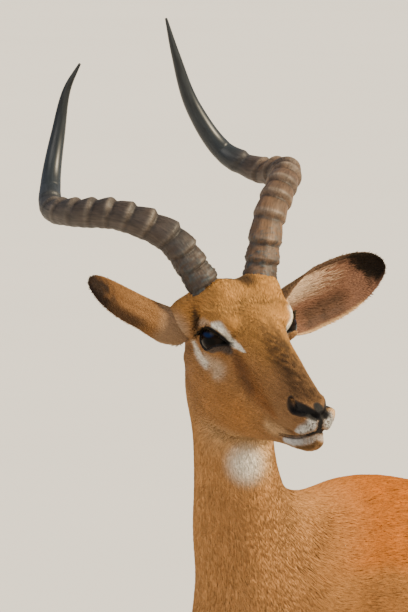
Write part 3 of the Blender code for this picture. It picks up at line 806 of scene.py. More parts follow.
# The same for the body, left and right alike: centre (|x|, s, z), radii, height.
BODY_RELIEF = (
    ((0.105, 0.215, 0.740), (0.05, 0.030, 0.110), 0.0030),
    ((0.105, 0.165, 0.690), (0.05, 0.025, 0.110), -0.0032),
    ((0.100, 0.290, 0.640), (0.05, 0.036, 0.045), 0.0040),
    ((0.085, 0.245, 0.560), (0.05, 0.020, 0.060), 0.0030),
    ((0.120, -0.215, 0.680), (0.05, 0.030, 0.080), -0.0055),
    ((0.095, -0.265, 0.820), (0.04, 0.030, 0.028), 0.0035),
    ((0.085, -0.450, 0.790), (0.04, 0.040, 0.026), 0.0030),
    ((0.110, -0.330, 0.690), (0.05, 0.050, 0.090), 0.0035),
    ((0.100, -0.430, 0.620), (0.05, 0.030, 0.120), 0.0030),
    ((0.100, -0.395, 0.640), (0.05, 0.018, 0.130), -0.0016),
    ((0.085, -0.270, 0.560), (0.05, 0.022, 0.035), 0.0035),
    ((0.000, 0.400, 0.640), (0.012, 0.050, 0.060), -0.0040),
    ((0.045, 0.385, 0.640), (0.030, 0.040, 0.060), 0.0035),
    ((0.078, -0.463, 0.395), (0.03, 0.010, 0.060), -0.0030),
    ((0.073, 0.296, 0.312), (0.02, 0.012, 0.016), 0.0018),
    ((0.070, 0.268, 0.105), (0.012, 0.010, 0.012), 0.0025),
    ((0.070, -0.474, 0.105), (0.012, 0.010, 0.012), 0.0025),
)
RELIEF_SOFTNESS = 0.9
RIBS = ((0.12, -0.02, 0.69), (0.10, 0.17, 0.11), 0.6)
RIB_SPACING = 0.026
RIB_SLANT = 0.4
RIB_HEIGHT = 0.0007
# Each groove's path, depth and softness.
GROOVES = ((NOSTRIL, 0.0065, 0.5), (MOUTH, 0.0024, 0.8), (PHILTRUM, 0.0014, 0.8))


def sculpted(points, triangles):
    """The skin with lids, nostrils, mouth and the hints of what lies beneath."""
    normals = point_normals(points, triangles)
    heads = in_head(points)
    mirrored = heads * np.where(heads[:, :1] < 0, (-1, 1, 1), (1, 1, 1))
    body = points * (1, -1, 1)
    body[:, 0] = np.abs(body[:, 0])
    lift = np.zeros(len(points))
    for places, relief in ((mirrored, HEAD_RELIEF), (body, BODY_RELIEF)):
        for centre, radii, height in relief:
            lift += height * blob(places, centre, radii, RELIEF_SOFTNESS)
    along = body[:, 1] - RIB_SLANT * body[:, 2]
    lift += RIB_HEIGHT * blob(body, *RIBS) * np.sin(2 * np.pi * along / RIB_SPACING)
    for path, depth, soft in GROOVES:
        lift -= depth * stroke(mirrored, path, soft)
    heads += normals @ HEAD_FRAME[:3, :3] * (1, -1, 1) * lift[:, None]
    return in_world(with_lids(heads))


# ---------------------------------------------------------------- ears

EAR_ROWS = 72
EAR_COLUMNS = 40
EAR_THICKNESS = 0.0015
# How much of its thickness the wall loses towards its edges.
EAR_EDGE_THINNING = 0.45
# Folds along the ear: their height, and their turns between the middle and an edge.
EAR_FOLD = 0.0008
EAR_FOLDS = 3.5
EAR_OPENING_POWER = 0.7
# How the leaf narrows beyond its widest place: late, then fast.
EAR_NARROWING = (2.9, 0.55)
EAR_TUFTS = 11000
EAR_LONG_HAIRS = 2200
EAR_RIM_HAIRS = 1200


def ear_outline(t, side):
    """The leaf's width a share t along the ear, as a share of its widest."""
    swell = math.sin(math.pi / 2 * min(1.0, t / EAR_WIDEST))
    root = EAR_ROOT_WIDTH[side]
    rise = root + (1 - root) * swell
    fall = max(0.0, (t - EAR_WIDEST) / (1 - EAR_WIDEST))
    late, fast = EAR_NARROWING
    return rise * (1 - fall**late) ** fast + EAR_TIP_WIDTH


def ear_sheet(side):
    """The middle of the ear's wall, and the share along and across it of each point."""
    aim = unit(EAR_AIMS[side])
    opening = np.array(EAR_OPENINGS[side])
    opening = unit(opening - aim * (opening @ aim))
    across = np.cross(aim, opening)
    points = []
    shares = []
    for t in np.linspace(0.0, 1.0, EAR_ROWS):
        opened = min(1.0, t / EAR_OPENED)
        half_width = EAR_HALF_WIDTHS[side] * ear_outline(t, side)
        unrolled = (EAR_ROOT_ANGLE - EAR_LEAF_ANGLE) * opened**EAR_OPENING_POWER
        half_angle = math.radians(EAR_ROOT_ANGLE - unrolled)
        radius = half_width / math.sin(min(half_angle, math.pi / 2))
        middle = np.array(EAR_BASES[side]) + aim * EAR_LENGTH[side] * (t - EAR_ROOTED)
        middle = middle - opening * EAR_BEND[side] * math.sin(math.pi * t)
        for share in np.linspace(-1, 1, EAR_COLUMNS):
            turn = share * half_angle
            lobe = 1 + EAR_LOBES[side] * max(0.0, -share) * math.sin(math.pi * t)
            fold = EAR_FOLD * math.sin(math.pi * t) * math.cos(EAR_FOLDS * math.pi * share)
            back = radius * (math.cos(turn) - EAR_CUP * opened) + fold
            points.append(middle + across * radius * lobe * math.sin(turn) - opening * back)
            shares.append((t, share))
    return in_world(points), np.array(shares), turned(opening)


def ear(side):
    """A closed ear: points, quads, shares along and across, and 1 on its inside."""
    sheet, shares, opening = ear_sheet(side)
    grid = sheet.reshape(EAR_ROWS, EAR_COLUMNS, 3)
    along, over = np.gradient(grid, axis=(0, 1))
    normals = unit(np.cross(along, over)).reshape(-1, 3)
    if dots(normals, opening).mean() < 0:
        normals = -normals
    half = EAR_THICKNESS / 2 * (1 - EAR_EDGE_THINNING * np.abs(shares[:, 1]) ** 6)[:, None]
    points = np.concatenate([sheet + normals * half, sheet - normals * half])
    index = np.arange(EAR_ROWS * EAR_COLUMNS).reshape(EAR_ROWS, EAR_COLUMNS)
    a, b = index[:-1, :-1].ravel(), index[:-1, 1:].ravel()
    c, d = index[1:, 1:].ravel(), index[1:, :-1].ravel()
    count = index.size
    front = np.stack([a, b, c, d], axis=1)
    back = np.stack([a, d, c, b], axis=1) + count
    rim = np.concatenate([index[0], index[1:, -1], index[-1, -2::-1], index[-2:0:-1, 0]])
    following = np.roll(rim, -1)
    edge = np.stack([following, rim, rim + count, following + count], axis=1)
    inside = np.concatenate([np.ones(count), np.zeros(count)])
    quads = np.concatenate([front, back, edge])
    facing = np.cross(points[b] - points[a], points[d] - points[a])
    if dots(facing, normals[a]).sum() < 0:
        quads = quads[:, ::-1]
    return points, quads, np.tile(shares, (2, 1)), inside


# ---------------------------------------------------------------- the painter

# Linear colours.
FAWN = (0.300, 0.150, 0.058)
FAWN_DARK = (0.240, 0.105, 0.034)
# The shoulder's colour: a darker brown-fawn coat with painted shade over it.
SHOULDER_SHADE = (0.175, 0.074, 0.022)
RUFOUS = (0.330, 0.088, 0.004)
NECK_FAWN = (0.400, 0.200, 0.074)
FLANK = (0.370, 0.165, 0.046)
CREAM = (0.640, 0.420, 0.220)
WHITE = (0.780, 0.730, 0.640)
LIP_WHITE = (0.560, 0.560, 0.550)
GREY_PALE = (0.500, 0.370, 0.260)
FOREHEAD = (0.400, 0.195, 0.055)
NOSE_BROWN = (0.060, 0.032, 0.018)
LACHRYMAL = (0.110, 0.050, 0.024)
MUZZLE_TAN = (0.260, 0.140, 0.065)
TEAR_BROWN = (0.210, 0.075, 0.018)
# The grey under the lids is painted shade.
LID_SHADE = (0.070, 0.058, 0.056)
CHIN_BROWN = (0.120, 0.065, 0.028)
BLACK = (0.008, 0.007, 0.006)
DARK_BROWN = (0.050, 0.028, 0.018)
EAR_PINK = (0.180, 0.090, 0.058)
EAR_TIP = (0.016, 0.010, 0.009)
EAR_GREY = (0.070, 0.042, 0.030)
EAR_BACK = (0.255, 0.1275, 0.0493)
EAR_BACK_DARK = (0.144, 0.063, 0.0204)

# Marks of the face: x, s, z along a path with its half width.
BROW_STRIPE = (
    (0.0497, -0.0107, 0.0313, 0.0040),
    (0.0477, -0.0012, 0.0345, 0.0056),
    (0.0425, 0.0034, 0.0297, 0.0062),
    (0.0367, 0.0050, 0.0220, 0.0057),
    (0.0339, 0.0112, 0.0176, 0.0048),
    (0.0318, 0.0212, 0.0163, 0.0034),
    (0.0294, 0.0319, 0.0147, 0.0016),
)
BEHIND_EYE = (
    (0.0527, -0.0492, 0.0390, 0.0022),
    (0.0520, -0.0482, 0.0302, 0.0038),
    (0.0520, -0.0474, 0.0213, 0.0042),
    (0.0526, -0.0461, 0.0120, 0.0034),
)
PALE_STRIP = (
    (0.0510, -0.0498, -0.0104, 0.0042),
    (0.0505, -0.0447, -0.0172, 0.0055),
    (0.0508, -0.0332, -0.0205, 0.0058),
    (0.0503, -0.0212, -0.0239, 0.0055),
)
EYE_PATCH = (
    (0.0508, -0.0190, -0.0148, 0.0070),
    (0.0478, -0.0089, -0.0182, 0.0095),
    (0.0452, 0.0017, -0.0213, 0.0105),
    (0.0470, -0.0010, -0.0290, 0.0050),
)
ABOVE_EYE = (
    (0.0490, -0.0423, 0.0194, 0.0042),
    (0.0492, -0.0279, 0.0279, 0.0045),
    (0.0495, -0.0180, 0.0305, 0.0035),
)
LID_GREY = (
    (0.0549, -0.0008, 0.0044, 0.0045),
    (0.0499, 0.0040, 0.0091, 0.0055),
    (0.0417, 0.0061, 0.0080, 0.0052),
    (0.0367, 0.0117, 0.0072, 0.0042),
)
TEAR_MARK = (
    (0.0367, 0.0117, 0.0072, 0.0042),
    (0.0346, 0.0206, 0.0047, 0.0060),
    (0.0331, 0.0288, -0.0020, 0.0078),
    (0.0326, 0.0391, -0.0114, 0.0088),
    (0.0309, 0.0524, -0.0221, 0.0085),
)
TEAR_STREAK = (
    (0.0328, 0.0305, -0.0025, 0.0090),
    (0.0318, 0.0450, -0.0125, 0.0120),
    (0.0295, 0.0640, -0.0205, 0.0135),
    (0.0275, 0.0850, -0.0290, 0.0110),
    (0.0260, 0.1000, -0.0340, 0.0080),
)
NOSE_PAD = (
    (0.0, 0.1640, -0.0060, 0.0056),
    (0.0, 0.1612, 0.0000, 0.0060),
    (0.0, 0.1580, 0.0028, 0.0046),
)
NOSE_BAND = (
    (0.0060, 0.0200, 0.0410, 0.0040),
    (0.0050, 0.0380, 0.0370, 0.0080),
    (0.0040, 0.0555, 0.0320, 0.0105),
    (0.0040, 0.0735, 0.0260, 0.0120),
    (0.0040, 0.0940, 0.0200, 0.0130),
    (0.0045, 0.1110, 0.0140, 0.0125),
    (0.0045, 0.1295, 0.0090, 0.0110),
    (0.0040, 0.1460, 0.0075, 0.0075),
)
# Marks of the left side only: a spot at the inner side of the horn's root, and a
# painted highlight on the outer wing of the nostril.
HORN_SPOT = (
    (0.0060, -0.0560, 0.0560, 0.0080),
    (0.0085, -0.0480, 0.0590, 0.0115),
    (0.0105, -0.0420, 0.0600, 0.0095),
)
LIT_LEFT_WING = ((0.0172, 0.1610, -0.0050), (0.0055, 0.0070, 0.0075), 0.5)
# How strongly each side's lids carry painted shade, strong on the right and weak on the
# left, and how wide their dark rims are.
PAINTED_LID_SHADE = {"left": 0.30, "right": 0.95}
LID_RIMS = {"left": 0.4, "right": 1.0}
LEFT_BROW_WIDER = 1.5
MOUTH_LINE_WIDER = 1.25
# The lower lip's fine stripes, across the head.
LIP_STRIPES = 0.0028
UPPER_LIP = (
    (0.0104, 0.1660, -0.0091, 0.0055),
    (0.0115, 0.1655, -0.0169, 0.0070),
    (0.0170, 0.1620, -0.0222, 0.0060),
    (0.0202, 0.1516, -0.0315, 0.0034),
    (0.0198, 0.1400, -0.0395, 0.0018),
)
LIP_BAND = (
    (0.0190, 0.1250, -0.0480, 0.0040),
    (0.0185, 0.1121, -0.0512, 0.0050),
    (0.0200, 0.0948, -0.0560, 0.0065),
    (0.0215, 0.0836, -0.0565, 0.0060),
)
LOWER_LIP = (
    (0.0167, 0.1181, -0.0597, 0.0030),
    (0.0159, 0.1332, -0.0541, 0.0046),
    (0.0145, 0.1491, -0.0462, 0.0050),
    (0.0086, 0.1594, -0.0407, 0.0046),
    (0.0000, 0.1620, -0.0368, 0.0040),
)
CHIN = (
    (0.0134, 0.1436, -0.0570, 0.0028),
    (0.0118, 0.1549, -0.0523, 0.0032),
    (0.0065, 0.1614, -0.0487, 0.0032),
    (0.0000, 0.1631, -0.0440, 0.0030),
)


# Patches of colour: centre, radii and softness; of the head, then |x|, s, z of the body.
CHEEK_PATCH = ((0.040, 0.010, -0.065), (0.03, 0.07, 0.03), 0.6)
EAR_ROOT_PATCH = ((0.072, -0.064, 0.004), (0.014, 0.020, 0.020), 0.6)
THROAT_EDGE = ((0.006, 0.036, -0.132), (0.026, 0.020, 0.022), 0.7)
THROAT_PATCH = ((-0.016, 0.031, -0.136), (0.019, 0.020, 0.019), 0.7)
# The shoulder's patch is painted shade over a somewhat darker coat.
SHOULDER_SHADE_PATCH = ((0.10, 0.28, 0.77), (0.14, 0.13, 0.13), 0.8)
CHEST_PATCH = ((0.0, 0.30, 0.56), (0.05, 0.09, 0.07), 0.5)
KNEE_PATCH = ((0.075, 0.312, 0.318), (0.03, 0.012, 0.03), 0.6)
ANKLE_GLAND = ((0.070, -0.497, 0.150), (0.022, 0.018, 0.036), 0.3)
RUMP_PATCH = ((0.0, -0.545, 0.70), (0.066, 0.060, 0.125), 0.25)
# The height of the saddle's lower edge, and of the belly's upper one in the middle.
SADDLE_EDGE = 0.775
BELLY_EDGE = 0.590
# Where the neck leaves the trunk.
NECK_ROOT_S = 0.27
NECK_ROOT_Z = 0.745


def mixed(values, over, share):
    """Colours or directions moved by a share of the way towards others."""
    return values + (np.array(over) - values) * np.clip(share, 0, 1)[:, None]


def layered(base, layers):
    """One colour with layers of (colour, share at each point) painted over it."""
    shades = np.tile(np.array(base), (len(layers[0][1]), 1))
    for colour, share in layers:
        shades = mixed(shades, colour, share)
    return shades


def rough_noise(points, size, seed=0):
    """Smooth random values from -1 to 1 about this size apart."""
    turns = np.random.default_rng(seed).normal(size=(6, 3))
    waves = points @ (unit(turns) * 2 * np.pi / size).T
    phases = np.arange(6) * 1.7 + seed
    return np.sin(waves + phases + 1.3 * np.sin(np.roll(waves, 1, axis=1) * 0.61)).mean(1) * 1.6


def both_sides(points):
    """Points with the right side's laid over the left's."""
    return np.concatenate([np.abs(points[:, :1]), points[:, 1:]], axis=1)


def of_side(values, heads):
    """What a table says for the left or right at each point of the head."""
    return np.where(heads[:, 0] > 0, values["left"], values["right"])


def past_neck_root(s, z):
    """How far up and forward of the neck's root a place is, below 0 behind it."""
    return (z - NECK_ROOT_Z) * 0.5 + (s - NECK_ROOT_S)


def paint_head(heads):
    """Colours of the head's coat at points (x, s, z) of the head's frame."""
    p = both_sides(heads)
    x, s, z = p.T
    streaky = 0.90 + 0.30 * rough_noise(heads * (1, 0.4, 1), 0.006, 4)
    streaky *= 0.65 + 0.35 * ease(0.02, 0.07, s)
    lit_left_wing = blob(heads, *LIT_LEFT_WING)
    left_brow = widened(BROW_STRIPE, LEFT_BROW_WIDER)
    stripes = 0.5 + 0.5 * np.sin(x * 2 * np.pi / LIP_STRIPES)
    greyer = 1 - ease(0.146, 0.160, s) * (0.25 + 0.35 * stripes)
    specks = ease(0.10, 0.5, rough_noise(heads, 0.0036, 3)) * ease(0.140, 0.155, s)
    mouth_line = widened(MOUTH, MOUTH_LINE_WIDER)
    return layered(FAWN, (
        (FOREHEAD, ease(-0.005, 0.035, z) * ease(0.11, 0.06, s)),
        (MUZZLE_TAN, 0.8 * ease(0.06, 0.13, s)),
        (FLANK, 0.65 * blob(p, *CHEEK_PATCH)),
        (CREAM, 0.55 * ease(-0.085, -0.112, z) * ease(-0.05, 0.0, s)),
        (TEAR_BROWN, 0.70 * stroke(p, TEAR_STREAK, 0.95)),
        (NOSE_BROWN, 0.90 * stroke(p, NOSE_BAND, 0.75) * streaky),
        (GREY_PALE, 0.85 * stroke(p, EYE_PATCH, 0.8)),
        (WHITE, 0.85 * stroke(p, PALE_STRIP, 0.8)),
        (GREY_PALE, 0.80 * stroke(p, ABOVE_EYE, 0.8)),
        (DARK_BROWN, 0.90 * stroke(p, BEHIND_EYE, 0.7)),
        (GREY_PALE, 0.7 * blob(p, *EAR_ROOT_PATCH)),
        (LACHRYMAL, 0.75 * stroke(p, TEAR_MARK, 0.9)),
        # Painted shade under the lids, much stronger on the right side.
        (LID_SHADE, of_side(PAINTED_LID_SHADE, heads) * stroke(p, LID_GREY, 0.6)),
        (WHITE, 0.97 * stroke(p, BROW_STRIPE, 0.45)),
        (WHITE, 0.97 * stroke(heads, left_brow, 0.45)),
        (DARK_BROWN, 0.90 * stroke(heads, HORN_SPOT, 0.6)),
        # Painted highlight on the left nostril's outer wing.
        (CREAM, 0.85 * lit_left_wing),
        (CREAM, 0.55 * stroke(p, LIP_BAND, 0.9)),
        (LIP_WHITE, 0.95 * stroke(p, UPPER_LIP, 0.6)),
        (LIP_WHITE, 0.85 * stroke(p, LOWER_LIP, 0.6) * greyer),
        (CHIN_BROWN, 0.9 * stroke(p, CHIN, 0.6)),
        (EAR_GREY, 0.80 * specks * stroke(p, UPPER_LIP, 0.4)),
        (BLACK, 0.95 * stroke(p, NOSTRIL, 0.6) * (1 - lit_left_wing)),
        (BLACK, 0.95 * stroke(p, NOSE_PAD, 0.4)),
        (BLACK, 0.9 * stroke(p, mouth_line, 0.5)),
    ))


def bare_face(heads):
    """How bare and dark the skin is: lid rims, nose and lips, from 0 to 1."""
    p = both_sides(heads)
    aim = eye_axes()[0]
    rel = p - EYE_CENTRE
    out = unit(rel)
    near_eye = (np.linalg.norm(rel, axis=1) < EYE_REACH) & (out @ aim > 0)
    gap = np.where(near_eye, lid_gap(out), 1.0)
    across, up = over_ball(out)
    # The dark rim is broader at the back corner and along the upper lid.
    rim = LID_BARE * (1 + 1.1 * ease(-0.012, -0.021, across) + 0.5 * ease(0, 0.006, up))
    rim = rim * of_side(LID_RIMS, heads)
    bare = 1 - ease(0.7, 1.4, gap / rim)
    bare = np.maximum(bare, stroke(p, NOSE_PAD, 0.35))
    bare = np.maximum(bare, stroke(p, widened(NOSTRIL, more=0.0024), 0.3))
    # The painted highlight on the left nostril's wing takes the place of its bare dark skin.
    bare = bare * (1 - 0.9 * blob(heads, *LIT_LEFT_WING))
    bare = np.maximum(bare, stroke(p, widened(MOUTH, more=0.0009), 0.35))
    return np.maximum(bare, stroke(p, widened(PHILTRUM, more=0.0007), 0.35))


def paint_body(points):
    """Colours of the neck, trunk, legs and tail at points of the body's frame."""
    p = both_sides(points * (1, -1, 1))
    side, s, z = p.T
    # The dark saddle, with a soft level edge along the flank.
    edge = SADDLE_EDGE + 0.012 * np.sin(s * 9.0) + 0.006 * rough_noise(points, 0.09, 5)
    saddle = ease(-0.014, 0.022, z - edge) * ease(0.40, 0.24, s + 0.10 * (z - 0.9))
    on_neck = ease(0.0, 0.12, past_neck_root(s, z))
    # The white belly rises to the sides and sinks towards the chest.
    line = BELLY_EDGE + 0.21 * side + 0.010 * rough_noise(points, 0.07, 21)
    line = line - 0.09 * ease(0.06, 0.24, s)
    belly = ease(0.032, -0.030, z - line) * ease(0.32, 0.24, s)
    belly *= ease(-0.36, -0.28, s) * ease(0.50, 0.55, z)
    # Inner thighs and armpits.
    inner = ease(0.074, 0.060, side) * ease(0.28, 0.34, z) * ease(0.66, 0.60, z)
    inner *= 1 - ease(0.320, 0.350, s) * ease(0.48, 0.54, z)
    leg = ease(0.56, 0.48, z)
    cannon = ease(0.34, 0.28, z) * ease(0.074, 0.066, side)
    # A black stripe curves down each side of the rump, and one runs down the tail.
    stripe = np.abs(side - (0.060 - 0.10 * (z - 0.70) ** 2 * 4)) / 0.0075
    stripe = ease(1.4, 0.7, stripe) * ease(-0.40, -0.47, s) * ease(0.82, 0.79, z)
    tail = ease(-0.548, -0.556, s) * ease(0.034, 0.026, side)
    return layered(FLANK, (
        (RUFOUS, 0.92 * saddle),
        # Painted shade over the shoulder.
        (SHOULDER_SHADE, 0.95 * blob(p, *SHOULDER_SHADE_PATCH) * (1 - 0.6 * saddle)),
        (NECK_FAWN, on_neck),
        (FAWN_DARK, 0.25 * (ease(0.02, -0.06, s - 0.40) * on_neck)),
        (WHITE, 0.95 * belly),
        (WHITE, 0.85 * inner),
        (CREAM, 0.7 * blob(p, *CHEST_PATCH)),
        (FAWN, 0.55 * leg * (1 - inner)),
        (CREAM, 0.45 * cannon),
        (WHITE, 0.6 * ease(0.075, 0.050, z)),
        (DARK_BROWN, 0.30 * blob(p, *KNEE_PATCH)),
        (BLACK, blob(p, *ANKLE_GLAND)),
        (WHITE, 0.95 * blob(p, *RUMP_PATCH) * ease(-0.43, -0.49, s)),
        (BLACK, stripe * ease(0.555, 0.585, z)),
        (WHITE, 0.92 * tail * ease(0.83, 0.80, z)),
        (BLACK, tail * ease(0.0095, 0.0065, side) * ease(-0.572, -0.580, s)),
    ))


def on_head(points):
    """1 on the head and 0 on the body, easing over the top of the neck."""
    point, normal = seam_plane()
    return ease(-0.020, 0.030, (points - point) @ normal)


def painted(points):
    """The coat's colours at points of the body's frame, markings and all."""
    heads = in_head(points)
    share = on_head(points)
    shades = paint_body(points)
    top = share > 0
    shades[top] = mixed(shades[top], paint_head(heads[top]), share[top])
    shades = mixed(shades, CREAM, 0.8 * blob(heads, *THROAT_EDGE))
    shades = mixed(shades, WHITE, 0.9 * blob(heads, *THROAT_PATCH))
    mottle = 1 + 0.05 * rough_noise(points, 0.035, 8) + 0.04 * rough_noise(points, 0.012, 9)
    return np.clip(shades * mottle[:, None], 0, 1)


def paint_ear(points, shares, inside):
    """Colours of an ear from the shares along and across it and which side it is."""
    t, over = shares.T
    grain = rough_noise(points, 0.012, 12)
    left = in_head(points)[:, 0] > 0
    below_tip = ease(0.85, 0.7, t)
    back = layered(EAR_BACK, (
        (GREY_PALE, 0.4 * ease(0.34, 0.20, t)),
        (EAR_BACK_DARK, 0.5 * ease(0.45, 0.80, t)),
        (FOREHEAD, 0.6 * ease(0.45, 0.90, over) * below_tip * (1 - left)),
        (DARK_BROWN, 0.8 * ease(0.30, 0.60, over) * below_tip * left),
        (DARK_BROWN, 0.9 * ease(-0.35, -0.80, over) * ease(0.30, 0.50, t)),
        (EAR_TIP, 0.96 * ease(0.72, 0.92, t + 0.06 * grain - 0.05 * over)),
    ))
    middle = ease(0.50, 0.25, np.abs(over - 0.25))
    upper = ease(0.58, 0.72, over + 0.08 * grain)
    lower = ease(-0.25, -0.50, over) * ease(-0.96, -0.84, over)
    lower = lower * ease(0.24, 0.34, t) * ease(0.74, 0.58, t)
    front = layered(EAR_PINK, (
        (GREY_PALE, 0.75 * middle * ease(0.55, 0.30, t)),
        (EAR_GREY, 0.9 * upper * ease(0.15, 0.3, t)),
        (EAR_GREY, 0.9 * lower * (0.85 + 0.3 * grain)),
        (CREAM, 0.7 * ease(-0.90, -0.97, over) * ease(0.85, 0.75, t)),
        (BLACK, 0.96 * ease(0.79, 0.87, t + 0.04 * grain + 0.13 * over)),
    ))
    return np.where(inside[:, None] > 0.5, front, back)


# ---------------------------------------------------------------- materials


def nodes_of(name):
    """A new material with its node tree and its shader."""
    made = bpy.data.materials.new(name)
    made.use_nodes = True
    tree = made.node_tree
    return made, tree, tree.nodes["Principled BSDF"]


def node(tree, kind, inputs=None, **settings):
    """A new node whose inputs are set to values or linked to outputs."""
    made = tree.nodes.new("ShaderNode" + kind)
    for key, value in settings.items():
        setattr(made, key, value)
    for key, value in (inputs or {}).items():
        if hasattr(value, "links"):
            tree.links.new(value, made.inputs[key])
        else:
            made.inputs[key].default_value = value
    return made


def attribute(tree, name, output):
    """What the mesh says at each point under a name."""
    return node(tree, "Attribute", attribute_name=name).outputs[output]


def ranged(tree, value, start, end, low=0.0, high=1.0):
    """A value from start to end as another rises from low to high."""
    limits = {"From Min": low, "From Max": high, "To Min": start, "To Max": end}
    return node(tree, "MapRange", {"Value": value, **limits}).outputs[0]


def times(tree, vector, factor):
    """A vector or colour times another or times a value."""
    made = node(tree, "VectorMath", {0: vector, 1: factor}, operation="MULTIPLY")
    return made.outputs[0]


def noise(tree, vector, scale, detail):
    """Smooth noise from 0 to 1 at the places that a vector says."""
    inputs = {"Vector": vector, "Scale": scale, "Detail": detail}
    return node(tree, "TexNoise", inputs).outputs["Fac"]


def bumped(tree, surface, height, strength, distance):
    """Gives the surface fine relief."""
    inputs = {"Height": height, "Strength": strength, "Distance": distance}
    relief = node(tree, "Bump", inputs)
    tree.links.new(relief.outputs[0], surface.inputs["Normal"])


def hair_material(name, bump, roughness):
    """Hair: the painted colour broken up along the lie, with a streaky bump."""
    made, tree, surface = nodes_of(name)
    colour = attribute(tree, "coat_colour", "Color")
    comb = attribute(tree, "comb", "Vector")
    streaks = noise(tree, comb, 520.0, 4.0)
    tint = times(tree, colour, ranged(tree, streaks, 0.72, 1.28))
    tree.links.new(tint, surface.inputs["Base Color"])
    bumped(tree, surface, streaks, bump, 0.0008)
    surface.inputs["Roughness"].default_value = roughness
    surface.inputs["Specular IOR Level"].default_value = 0.15
    surface.inputs["Specular Tint"].default_value = (1.0, 0.75, 0.45, 1)
    surface.inputs["Sheen Weight"].default_value = 0.06
    surface.inputs["Sheen Roughness"].default_value = 0.45
    surface.inputs["Sheen Tint"].default_value = (1.0, 0.70, 0.35, 1)
    return made


def skin_material():
    """Skin: hair between the tufts, and dark damp leather where it is bare."""
    made, tree, surface = nodes_of("skin")
    colour = attribute(tree, "coat_colour", "Color")
    comb = attribute(tree, "comb", "Vector")
    bare = attribute(tree, "bare", "Fac")
    streaks = noise(tree, comb, 480.0, 5.0)
    pores = node(tree, "TexVoronoi", {"Scale": 900.0}).outputs["Distance"]
    tint = times(tree, colour, ranged(tree, streaks, 0.6, 1.2))
    tree.links.new(tint, surface.inputs["Base Color"])
    height = node(tree, "Mix", {0: bare, 2: streaks, 3: pores})
    bumped(tree, surface, height.outputs[0], 0.6, 0.0007)
    tree.links.new(ranged(tree, bare, 0.72, 0.45), surface.inputs["Roughness"])
    surface.inputs["Specular IOR Level"].default_value = 0.12
    return made


def horn_material():
    """Horn: the painted rings with lengthwise grain, chips and a dull polish."""
    made, tree, surface = nodes_of("horn")
    colour = attribute(tree, "horn_colour", "Color")
    grain = attribute(tree, "grain", "Vector")
    lines = noise(tree, grain, 420.0, 6.0)
    blots = noise(tree, grain, 90.0, 5.0)
    both = node(tree, "Math", {0: lines, 1: blots}, operation="ADD").outputs[0]
    tint = times(tree, colour, ranged(tree, both, 0.35, 1.7, 0.6, 1.4))
    tree.links.new(tint, surface.inputs["Base Color"])
    worn = attribute(tree, "worn", "Fac")
    bumped(tree, surface, both, ranged(tree, worn, 0.08, 0.7), 0.0012)
    tree.links.new(ranged(tree, worn, 0.38, 0.58), surface.inputs["Roughness"])
    surface.inputs["Specular IOR Level"].default_value = 0.32
    return made


def eye_material():
    """A wet black-brown eye with a level pupil."""
    made, tree, surface = nodes_of("eye")
    tree.links.new(attribute(tree, "eye_colour", "Color"), surface.inputs["Base Color"])
    surface.inputs["Roughness"].default_value = 0.05
    surface.inputs["Specular IOR Level"].default_value = 0.05
    return made


HOOF_BLACK = (0.020, 0.017, 0.015, 1)
HOOF_DUST = (0.16, 0.125, 0.09, 1)
HOOF_DUST_HEIGHT = 0.016


def hoof_material():
    """Black horn with fine growth rings and a dusty, worn edge."""
    made, tree, surface = nodes_of("hoof")
    place = node(tree, "TexCoord").outputs["Object"]
    height = node(tree, "SeparateXYZ", {0: place}).outputs["Z"]
    squeeze = times(tree, place, (1.0, 1.0, 9.0))
    rings = noise(tree, squeeze, 70.0, 5.0)
    dust = ranged(tree, height, 0.55, 0.0, 0.0, HOOF_DUST_HEIGHT)
    specks = node(tree, "Math", {0: dust, 1: rings}, operation="MULTIPLY").outputs[0]
    tint = node(tree, "Mix", {"Factor": specks, 6: HOOF_BLACK, 7: HOOF_DUST}, data_type="RGBA")
    tree.links.new(tint.outputs[2], surface.inputs["Base Color"])
    bumped(tree, surface, rings, 0.5, 0.001)
    surface.inputs["Roughness"].default_value = 0.38
    return made


FLOOR_COLOUR = (0.74, 0.72, 0.69)


def floor_material():
    """A plain pale floor, a little cloudy."""
    made, tree, surface = nodes_of("floor")
    place = node(tree, "TexCoord").outputs["Object"]
    cloud = noise(tree, place, 0.6, 3.0)
    tint = times(tree, FLOOR_COLOUR, ranged(tree, cloud, 0.97, 1.03))
    tree.links.new(tint, surface.inputs["Base Color"])
    surface.inputs["Roughness"].default_value = 0.9
    return made


# ---------------------------------------------------------------- the coat's lie


# How much the streaks' coordinates are squeezed along the hair.
SQUEEZE = 0.10
# The ways hair points, as (x, s, z), on the neck, the legs and the tail.
DOWN_NECK = (0, 0.33, -0.94)
DOWN_LEG = (0, 0.12, -1.0)
DOWN_THIGH = (0, 0.48, -1.0)
DOWN_TAIL = (0, 0.05, -1.0)
THIGH = ((0, -0.40, 0.66), (1, 0.13, 0.14), 0.5)


def combed(points):
    """Coordinates squeezed along the lie of the hair, for streaks along it."""
    heads = in_head(points) * (1, SQUEEZE, 1)
    body = points * (1, -1, 1)
    s, z = body[:, 1], body[:, 2]
    upright = np.maximum(ease(0.0, 0.12, past_neck_root(s, z)), ease(0.60, 0.50, z))
    body = mixed(body * (1, SQUEEZE, 1), body * (1, 1, SQUEEZE), upright)
    return mixed(body, heads, on_head(points))


